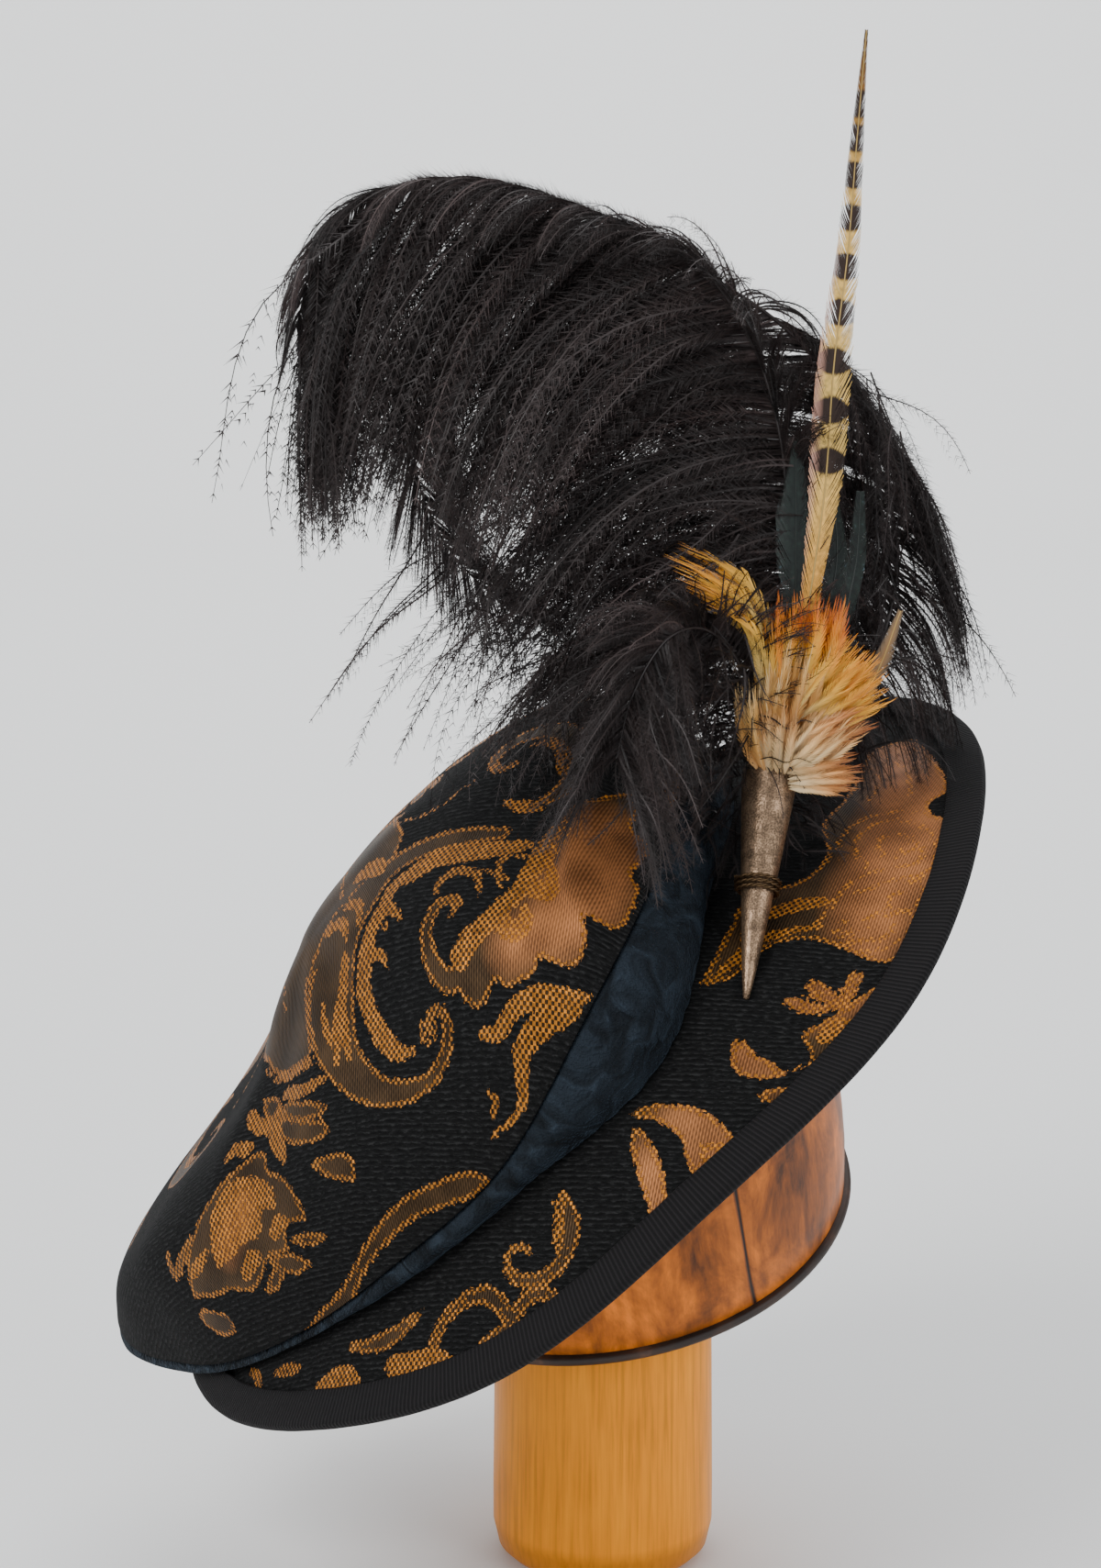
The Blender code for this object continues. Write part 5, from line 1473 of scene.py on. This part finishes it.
def ostrich_barbs(looks):
    """Dyed ostrich barbs: dull black-brown threads that catch a soft light along their length."""
    existing = bpy.data.materials.get("dyed ostrich barbs")
    if existing:
        return existing
    material, tree, shader = new_material("dyed ostrich barbs", Roughness=0.5, Specular_IOR_Level=0.3)
    tone = add_node(tree, "ShaderNodeAttribute", attribute_name="tone")
    colour = add_node(
        tree, "ShaderNodeValToRGB", {"Fac": tone.outputs["Fac"]},
        [(0.0, shade(looks.plume, 0.3)), (0.45, looks.plume), (0.75, shade(looks.plume, 2.2)), (1.0, shade(looks.plume, 4.0))],
    )
    tree.links.new(colour.outputs[0], shader.inputs["Base Color"])
    return material


def quill_horn(name, colour):
    """A feather's quill: smooth horn, dyed or in its own colour."""
    name = f"{name} quill horn"
    return bpy.data.materials.get(name) or new_material(name, Base_Color=colour, Roughness=0.4)[0]


def pheasant(looks):
    """A cock pheasant's tail feather: straw-coloured, with dark bars that thin out towards the edges, browner at the
    tip, and a soft pink fringe on one side."""
    material, tree, shader = new_material("pheasant tail feather", Roughness=0.55, Specular_IOR_Level=0.35)
    along, across = (
        add_node(tree, "ShaderNodeAttribute", attribute_name=name).outputs["Fac"] for name in ("along", "across")
    )
    flat = add_node(tree, "ShaderNodeCombineXYZ", {0: along, 1: across}).outputs[0]
    streaks = add_node(tree, "ShaderNodeTexNoise", {"Vector": flat, "Scale": 0.5, "Detail": 2.0}).outputs["Fac"]
    # A bar is an oval 8 mm across and 5 mm high with ragged ends: the place along the quill is drawn back to the
    # nearest bar's middle by the bars' own spacing.
    ragged = add_node(tree, "ShaderNodeMath", {0: streaks, 1: 1.4, 2: along}, operation="MULTIPLY_ADD").outputs[0]
    place = add_node(tree, "ShaderNodeMapRange", {"Value": ragged, 1: 0.0, 2: PHEASANT_LENGTH}).outputs[0]
    bars = add_node(
        tree, "ShaderNodeValToRGB", {"Fac": place},
        [(max(0, (middle + side + 0.7) / PHEASANT_LENGTH), value)
         for middle in PHEASANT_BARS for side, value in ((-6.2, 0.0), (0.0, 1.0), (6.2, 0.0))],
    ).outputs[0]
    side_ways = add_node(tree, "ShaderNodeMath", {0: across, 1: 1 / 9.0}, operation="MULTIPLY").outputs[0]
    thin = add_node(tree, "ShaderNodeMath", {0: side_ways, 1: side_ways}, operation="MULTIPLY").outputs[0]
    dark = add_node(tree, "ShaderNodeMath", {0: bars, 1: thin}, operation="SUBTRACT").outputs[0]
    dark = add_node(tree, "ShaderNodeMapRange", {"Value": dark, 1: 0.12, 2: 0.28}).outputs[0]
    straw = add_node(
        tree, "ShaderNodeValToRGB", {"Fac": streaks},
        [(0.3, shade(looks.straw, 0.62)), (0.55, looks.straw), (0.8, shade(looks.straw, 1.25))],
    )
    tint = add_node(
        tree, "ShaderNodeValToRGB", {"Fac": place},
        [(0.0, "#d9863a"), (0.14, "#f2c98a"), (0.4, "#ffffff"), (0.78, "#f0e6d0"), (0.9, "#8f7550"), (1.0, "#463524")],
    )
    tinted = add_node(
        tree, "ShaderNodeMix", {0: 1.0, 6: straw.outputs[0], 7: tint.outputs[0]}, data_type="RGBA", blend_type="MULTIPLY"
    )
    barred = add_node(tree, "ShaderNodeMix", {0: dark, 6: tinted.outputs[2], 7: linear("#2a1a12")}, data_type="RGBA")
    fringe = add_node(tree, "ShaderNodeMapRange", {"Value": across, 1: 2.5 * PINK_SIDE, 2: 5.5 * PINK_SIDE, 4: 0.8}).outputs[0]
    low = add_node(tree, "ShaderNodeMapRange", {"Value": place, 1: 0.75, 2: 0.6}).outputs[0]
    pink = add_node(tree, "ShaderNodeMath", {0: fringe, 1: low}, operation="MULTIPLY").outputs[0]
    fringed = add_node(tree, "ShaderNodeMix", {0: pink, 6: barred.outputs[2], 7: linear("#d7a592")}, data_type="RGBA")
    tree.links.new(fringed.outputs[2], shader.inputs["Base Color"])
    return material


def cock(looks):
    """A cock's tail feather: near black with a green gloss, and painted lighter and blue-grey towards its curled edges
    as a painted sheen.
    """
    existing = bpy.data.materials.get("cock tail feather")
    if existing:
        return existing
    material, tree, shader = new_material("cock tail feather", Roughness=0.36, Specular_IOR_Level=0.45)
    along, across, out = (
        add_node(tree, "ShaderNodeAttribute", attribute_name=name).outputs["Fac"] for name in ("along", "across", "out")
    )
    flat = add_node(tree, "ShaderNodeCombineXYZ", {0: along, 1: across})
    streak = add_node(tree, "ShaderNodeTexNoise", {"Vector": flat.outputs[0], "Scale": 0.5, "Detail": 2.0})
    tone = add_node(tree, "ShaderNodeMath", {0: out, 1: 0.22, 2: streak.outputs["Fac"]}, operation="MULTIPLY_ADD")
    # Painted sheen: lighter and blue-grey towards the curled edges of the vanes.
    colour = add_node(
        tree, "ShaderNodeValToRGB", {"Fac": tone.outputs[0]},
        [(0.35, shade(looks.cock, 0.4)), (0.6, looks.cock), (0.8, shade(looks.cock, 2.0)), (1.0, "#56707c")],
    )
    tree.links.new(colour.outputs[0], shader.inputs["Base Color"])
    return material


def tan_feather(looks):
    """A small undyed body feather: tan, greyer towards its edges."""
    material, tree, shader = new_material("undyed body feather", Roughness=0.6, Specular_IOR_Level=0.3)
    out = add_node(tree, "ShaderNodeAttribute", attribute_name="out").outputs["Fac"]
    colour = add_node(tree, "ShaderNodeValToRGB", {"Fac": out}, [(0.0, "#8d6a42"), (0.5, "#776148"), (1.0, "#54493e")])
    tree.links.new(colour.outputs[0], shader.inputs["Base Color"])
    return material


def hackle(looks):
    """Cock neck hackles in their own gold, tan and rust, with a silky lie."""
    material, tree, shader = new_material("neck hackles", Roughness=0.5, Specular_IOR_Level=0.4, Sheen_Weight=0.2)
    dye = add_node(tree, "ShaderNodeAttribute", attribute_name="dye")
    tree.links.new(dye.outputs["Color"], shader.inputs["Base Color"])
    return material


def bronze_leather(looks):
    """Foiled leather: a worn bronze lustre over a fine pebbled grain."""
    material, tree, shader = new_material("foiled leather", Metallic=0.8)
    place = add_node(tree, "ShaderNodeTexCoord").outputs["Object"]
    grain = add_node(tree, "ShaderNodeTexVoronoi", {"Vector": place, "Scale": 1500.0}, feature="F1").outputs["Distance"]
    cloud = add_node(tree, "ShaderNodeTexNoise", {"Vector": place, "Scale": 190.0, "Detail": 4.0}).outputs["Fac"]
    tone = add_node(tree, "ShaderNodeMath", {0: grain, 1: 0.5, 2: cloud}, operation="MULTIPLY_ADD").outputs[0]
    colour = add_node(
        tree, "ShaderNodeValToRGB", {"Fac": tone},
        [(0.4, shade(looks.leather, 0.35)), (0.68, looks.leather), (0.95, shade(looks.leather, 2.2))],
    )
    tree.links.new(colour.outputs[0], shader.inputs["Base Color"])
    roughness = add_node(tree, "ShaderNodeMapRange", {"Value": cloud, 1: 0.3, 2: 0.7, 3: 0.5, 4: 0.32})
    tree.links.new(roughness.outputs[0], shader.inputs["Roughness"])
    bump = add_node(tree, "ShaderNodeBump", {"Strength": 0.6, "Distance": 0.3 * MM, "Height": tone})
    tree.links.new(bump.outputs[0], shader.inputs["Normal"])
    return material


def dark_brass_wire(looks):
    """Drawn brass wire, darkened with age."""
    return new_material("darkened brass wire", Base_Color=looks.wire, Metallic=0.9, Roughness=0.4)[0]


def block_wood(looks):
    """Limewood, turned, stained and polished by years of use: reddish brown with pale rubbed patches and a few long
    drying cracks."""
    material, tree, shader = new_material(
        "polished stained limewood", Roughness=0.5, Specular_IOR_Level=0.2, Coat_Weight=looks.polish, Coat_Roughness=0.28
    )
    grain = add_node(tree, "ShaderNodeAttribute", attribute_name="grain").outputs["Vector"]
    long = add_node(tree, "ShaderNodeMapping", {"Vector": grain, "Scale": (1, 1, 0.1)}).outputs[0]
    figure = add_node(tree, "ShaderNodeTexNoise", {"Vector": long, "Scale": 150.0, "Detail": 6.0, "Roughness": 0.6}).outputs["Fac"]
    long_patch = add_node(tree, "ShaderNodeMapping", {"Vector": grain, "Scale": (1, 1, 0.5)}).outputs[0]
    patch = add_node(
        tree, "ShaderNodeTexNoise", {"Vector": long_patch, "Scale": 42.0, "Detail": 6.0, "Roughness": 0.68, "Distortion": 0.5}
    ).outputs["Fac"]
    tone = add_node(tree, "ShaderNodeMath", {0: figure, 1: 0.45, 2: patch}, operation="MULTIPLY_ADD").outputs[0]
    colour = add_node(
        tree, "ShaderNodeValToRGB", {"Fac": tone},
        [(0.52, shade(looks.wood, 0.22)), (0.68, looks.wood), (0.8, shade(looks.wood, 1.9)), (0.94, shade(looks.wood, 3.2))],
    )
    # Cracks lie where a slow noise that only changes round the block crosses its middle value.
    upright = add_node(tree, "ShaderNodeMapping", {"Vector": grain, "Scale": (1, 1, 0.012)}).outputs[0]
    wander = add_node(tree, "ShaderNodeTexNoise", {"Vector": upright, "Scale": 17.0, "Detail": 1.5, "Roughness": 0.4}).outputs["Fac"]
    off = add_node(tree, "ShaderNodeMath", {0: wander, 1: 0.5}, operation="SUBTRACT").outputs[0]
    off = add_node(tree, "ShaderNodeMath", {0: off}, operation="ABSOLUTE").outputs[0]
    whole = add_node(tree, "ShaderNodeMapRange", {"Value": off, 1: 0.0015, 2: 0.007}).outputs[0]
    cracked = add_node(tree, "ShaderNodeMix", {0: whole, 6: linear("#1a0a05"), 7: colour.outputs[0]}, data_type="RGBA")
    tree.links.new(cracked.outputs[2], shader.inputs["Base Color"])
    height = add_node(tree, "ShaderNodeMath", {0: whole, 1: 1.5, 2: figure}, operation="MULTIPLY_ADD").outputs[0]
    bump = add_node(tree, "ShaderNodeBump", {"Strength": 0.35, "Distance": 0.5 * MM, "Height": height})
    tree.links.new(bump.outputs[0], shader.inputs["Normal"])
    return material


def plate_wood(looks):
    """A thin disc of dark hardwood, worn along its edge."""
    material, tree, shader = new_material("worn dark hardwood", Roughness=0.55)
    grain = add_node(tree, "ShaderNodeAttribute", attribute_name="grain").outputs["Vector"]
    wear = add_node(tree, "ShaderNodeTexNoise", {"Vector": grain, "Scale": 90.0, "Detail": 5.0})
    colour = add_node(
        tree, "ShaderNodeValToRGB", {"Fac": wear.outputs["Fac"]},
        [(0.35, shade(looks.plate, 0.4)), (0.6, looks.plate), (0.8, shade(looks.plate, 3.5))],
    )
    tree.links.new(colour.outputs[0], shader.inputs["Base Color"])
    return material


def polished_bamboo(looks):
    """Moso bamboo, skinned, oiled and polished: golden, with fine fibres that run up it and a darker foot."""
    material, tree, shader = new_material(
        "polished bamboo", Roughness=0.45, Specular_IOR_Level=0.15, Coat_Weight=looks.polish, Coat_Roughness=0.18
    )
    grain = add_node(tree, "ShaderNodeAttribute", attribute_name="grain").outputs["Vector"]
    long = add_node(tree, "ShaderNodeMapping", {"Vector": grain, "Scale": (1, 1, 0.035)}).outputs[0]
    fibres = add_node(tree, "ShaderNodeTexNoise", {"Vector": long, "Scale": 560.0, "Detail": 4.0, "Roughness": 0.6}).outputs["Fac"]
    cloud = add_node(tree, "ShaderNodeTexNoise", {"Vector": grain, "Scale": 26.0, "Detail": 3.0}).outputs["Fac"]
    tone = add_node(tree, "ShaderNodeMath", {0: cloud, 1: 0.3, 2: fibres}, operation="MULTIPLY_ADD").outputs[0]
    colour = add_node(
        tree, "ShaderNodeValToRGB", {"Fac": tone},
        [(0.45, shade(looks.bamboo, 0.74)), (0.65, looks.bamboo), (0.85, shade(looks.bamboo, 1.2))],
    )
    height = add_node(tree, "ShaderNodeSeparateXYZ", {0: grain}).outputs[2]
    skin = add_node(tree, "ShaderNodeMapRange", {"Value": height, 1: 0.011, 2: 0.0165, 3: 0.45, 4: 1.0}).outputs[0]
    footed = add_node(
        tree, "ShaderNodeMix", {0: skin, 6: shade(looks.bamboo, 0.45), 7: colour.outputs[0]}, data_type="RGBA"
    )
    tree.links.new(footed.outputs[2], shader.inputs["Base Color"])
    bump = add_node(tree, "ShaderNodeBump", {"Strength": 0.12, "Distance": 0.3 * MM, "Height": fibres})
    tree.links.new(bump.outputs[0], shader.inputs["Normal"])
    return material


def studio_paper(looks):
    """Seamless studio paper: matte pale grey."""
    return new_material("studio paper", Base_Color=looks.paper, Roughness=0.95, Specular_IOR_Level=0.1)[0]


# Stage


def make_stage(looks):
    """A sheet of paper that runs from the floor up behind the hat, soft lights, and the camera."""

    def place(u, v):
        across, run = (u - 0.5) * 9000, v * 7100 - 2600
        rise = np.clip(run - 2500, 0, None)
        turn = np.clip(rise / 900, 0, math.pi / 2)
        y = np.minimum(run, 2500) + 900 * np.sin(turn)
        z = 900 * (1 - np.cos(turn)) + np.clip(rise - 900 * math.pi / 2, 0, None)
        return np.stack([across, y, z], axis=-1)

    bm = drawn_grid(8, 90, place)
    bmesh.ops.recalc_face_normals(bm, faces=bm.faces)
    if facing_of(bm).z < 0:
        bmesh.ops.reverse_faces(bm, faces=bm.faces)
    paper = bpy.data.objects.new("studio_paper", mesh_from(bm, "studio_paper"))
    bpy.context.scene.collection.objects.link(paper)
    paper.data.materials.append(studio_paper(looks))
    paper.data.shade_smooth()

    world = bpy.data.worlds.new("studio")
    world.use_nodes = True
    world.node_tree.nodes["Background"].inputs["Color"].default_value = linear("#dfe4ea")
    world.node_tree.nodes["Background"].inputs["Strength"].default_value = looks.room_light
    bpy.context.scene.world = world
    for name, place, aim, size, power in SOFTBOXES:
        light = bpy.data.lights.new(name, "AREA")
        light.shape = "RECTANGLE"
        light.size, light.size_y = size
        light.energy = power * looks.light
        lamp = bpy.data.objects.new(name, light)
        lamp.location = place
        lamp.rotation_euler = (Vector(aim) - Vector(place)).to_track_quat("-Z", "Y").to_euler()
        bpy.context.scene.collection.objects.link(lamp)

    camera = bpy.data.objects.new("camera", bpy.data.cameras.new("camera"))
    bpy.context.scene.collection.objects.link(camera)
    camera.data.lens = CAMERA_LENS
    camera.data.sensor_width = SENSOR
    tilt = math.radians(CAMERA_ELEVATION)
    view = Vector((0, math.cos(tilt), -math.sin(tilt)))
    camera.location = Vector(CAMERA_TARGET) - view * CAMERA_DISTANCE
    camera.rotation_euler = view.to_track_quat("-Z", "Y").to_euler()
    camera.data.clip_start, camera.data.clip_end = 0.05, 30
    bpy.context.scene.camera = camera


# Settings, operators and panel


def colour_setting(name, description, code):
    return bpy.props.FloatVectorProperty(
        name=name, description=description, default=linear(code), size=4, min=0, max=1, subtype="COLOR"
    )


class ClothLooks(bpy.types.PropertyGroup):
    rib_pitch: bpy.props.FloatProperty(
        name="Rib pitch", description="Distance from rib to rib of the brocade's ground", default=0.0021, min=0.0005,
        unit="LENGTH",
    )
    ground: colour_setting("Ground", "Colour of the brocade's chenille ground", "#101010")
    satin: colour_setting("Satin", "Colour of the brocade's darker figures", "#3c2c1b")
    copper: colour_setting("Copper", "Colour of the brocade's brighter figures", "#94603a")
    gold: colour_setting("Gold", "Colour of the twill and the beaded edges", "#b27129")
    velvet: colour_setting("Velvet", "Colour of the roll under the crown", "#141a20")
    ribbon: colour_setting("Ribbon", "Colour of the brim's binding", "#131112")


class FeatherLooks(bpy.types.PropertyGroup):
    fullness: bpy.props.FloatProperty(
        name="Fullness", description="Share of the ostrich plumes' full number of barbs", default=1.0, min=0.05, max=1.5,
        subtype="FACTOR",
    )
    plume: colour_setting("Plumes", "Colour of the dyed ostrich barbs", "#251e1d")
    straw: colour_setting("Pheasant", "Colour of the pheasant feather between its bars", "#dcb766")
    cock: colour_setting("Cock", "Colour of the cock tail feathers", "#101a15")
    leather: colour_setting("Leather", "Colour of the bouquet's foiled cone", "#75604c")
    wire: colour_setting("Wire", "Colour of the wire round the cone", "#5a4630")


class StandLooks(bpy.types.PropertyGroup):
    wood: colour_setting("Block", "Colour of the stained block", "#8a480c")
    plate: colour_setting("Plate", "Colour of the disc under the block", "#38251a")
    bamboo: colour_setting("Bamboo", "Colour of the bamboo foot", "#f2930a")
    polish: bpy.props.FloatProperty(
        name="Polish", description="How much varnish the wood and bamboo carry", default=0.15, min=0.0, max=1.0,
        subtype="FACTOR",
    )


class StageLooks(bpy.types.PropertyGroup):
    paper: colour_setting("Paper", "Colour of the floor and backdrop", "#eeeeed")
    light: bpy.props.FloatProperty(name="Light", description="Strength of the soft lights", default=1.0, min=0)
    room_light: bpy.props.FloatProperty(
        name="Room light", description="Strength of the light from all round", default=0.75, min=0
    )


class HAT_OT_crown_top(bpy.types.Operator):
    """Cut the crown's brocade top with its woven figures"""

    bl_idname = "hat.crown_top"
    bl_label = "Crown Top"

    def execute(self, context):
        make_crown_top(context.scene.hat_cloth)
        return {"FINISHED"}


class HAT_OT_crown_band(bpy.types.Operator):
    """Roll the velvet under the crown"""

    bl_idname = "hat.crown_band"
    bl_label = "Velvet Roll"

    def execute(self, context):
        make_crown_band(context.scene.hat_cloth)
        return {"FINISHED"}


class HAT_OT_brim(bpy.types.Operator):
    """Shape the brocade brim and bind its edge"""

    bl_idname = "hat.brim"
    bl_label = "Brim"

    def execute(self, context):
        make_brim(context.scene.hat_cloth)
        make_binding(context.scene.hat_cloth)
        return {"FINISHED"}


class HAT_OT_plumes(bpy.types.Operator):
    """Grow the three ostrich plumes and the fluff at their foot"""

    bl_idname = "hat.plumes"
    bl_label = "Ostrich Plumes"

    def execute(self, context):
        for seed, plume in enumerate(PLUMES, 1):
            make_plume(context.scene.hat_feathers, plume, seed * 10)
        make_fluff(context.scene.hat_feathers)
        return {"FINISHED"}


class HAT_OT_tail_feathers(bpy.types.Operator):
    """Set the pheasant, cock and tan feathers"""

    bl_idname = "hat.tail_feathers"
    bl_label = "Tail Feathers"

    def execute(self, context):
        looks = context.scene.hat_feathers
        make_feather(
            looks, "pheasant_vane", PHEASANT_PATH, PHEASANT_WIDTHS, pheasant(looks), "pheasant", "pheasant_feather", 420, 24,
            quill=0.4, seed=3,
        )
        for number, feather in enumerate(COCK_FEATHERS, 1):
            make_feather(
                looks, f"cock_vane_{number}", feather["path"], feather["widths"], cock(looks), "cock",
                f"cock_feather_{number}", 240, 30, curl=0.8, seed=number,
            )
        make_feather(
            looks, "tan_vane", TAN_FEATHER_PATH, TAN_FEATHER_WIDTHS, tan_feather(looks), "pheasant", "tan_feather", 70, 34,
            quill=0.3, seed=9,
        )
        return {"FINISHED"}


class HAT_OT_hackles(bpy.types.Operator):
    """Fan the hackle feathers out of the cone"""

    bl_idname = "hat.hackles"
    bl_label = "Hackles"

    def execute(self, context):
        make_hackles(context.scene.hat_feathers)
        return {"FINISHED"}


class HAT_OT_cone(bpy.types.Operator):
    """Roll the leather cone and wind its wire"""

    bl_idname = "hat.cone"
    bl_label = "Leather Cone"

    def execute(self, context):
        make_cone(context.scene.hat_feathers)
        make_wire(context.scene.hat_feathers)
        return {"FINISHED"}


class HAT_OT_stand(bpy.types.Operator):
    """Turn the wooden block, its plate and the bamboo foot"""

    bl_idname = "hat.stand"
    bl_label = "Block and Foot"

    def execute(self, context):
        make_block(context.scene.hat_stand)
        make_bamboo(context.scene.hat_stand)
        return {"FINISHED"}


class HAT_OT_stage(bpy.types.Operator):
    """Set out the floor, backdrop, lights and camera"""

    bl_idname = "hat.stage"
    bl_label = "Stage"

    def execute(self, context):
        make_stage(context.scene.hat_stage)
        return {"FINISHED"}


OPERATORS = (
    HAT_OT_crown_top, HAT_OT_crown_band, HAT_OT_brim, HAT_OT_plumes, HAT_OT_tail_feathers, HAT_OT_hackles, HAT_OT_cone,
    HAT_OT_stand, HAT_OT_stage,
)
SETTINGS = {"hat_cloth": ClothLooks, "hat_feathers": FeatherLooks, "hat_stand": StandLooks, "hat_stage": StageLooks}


class HAT_PT_panel(bpy.types.Panel):
    """The hat's settings and the steps that make it"""

    bl_label = "Slouched Hat"
    bl_idname = "HAT_PT_panel"
    bl_space_type = "VIEW_3D"
    bl_region_type = "UI"
    bl_category = "Hat"

    def draw(self, context):
        for name, group in SETTINGS.items():
            box = self.layout.box()
            for key in group.__annotations__:
                box.prop(getattr(context.scene, name), key)
        for operator in OPERATORS:
            self.layout.operator(operator.bl_idname)


def register():
    for group in (*SETTINGS.values(), *OPERATORS, HAT_PT_panel):
        bpy.utils.register_class(group)
    for name, group in SETTINGS.items():
        setattr(bpy.types.Scene, name, bpy.props.PointerProperty(type=group))


def unregister():
    for name in SETTINGS:
        delattr(bpy.types.Scene, name)
    for group in (HAT_PT_panel, *reversed(OPERATORS), *SETTINGS.values()):
        bpy.utils.unregister_class(group)


def main():
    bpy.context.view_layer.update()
    register()
    for operator in OPERATORS:
        getattr(bpy.ops.hat, operator.bl_idname.split(".")[1])()


if __name__ == "__main__":
    main()
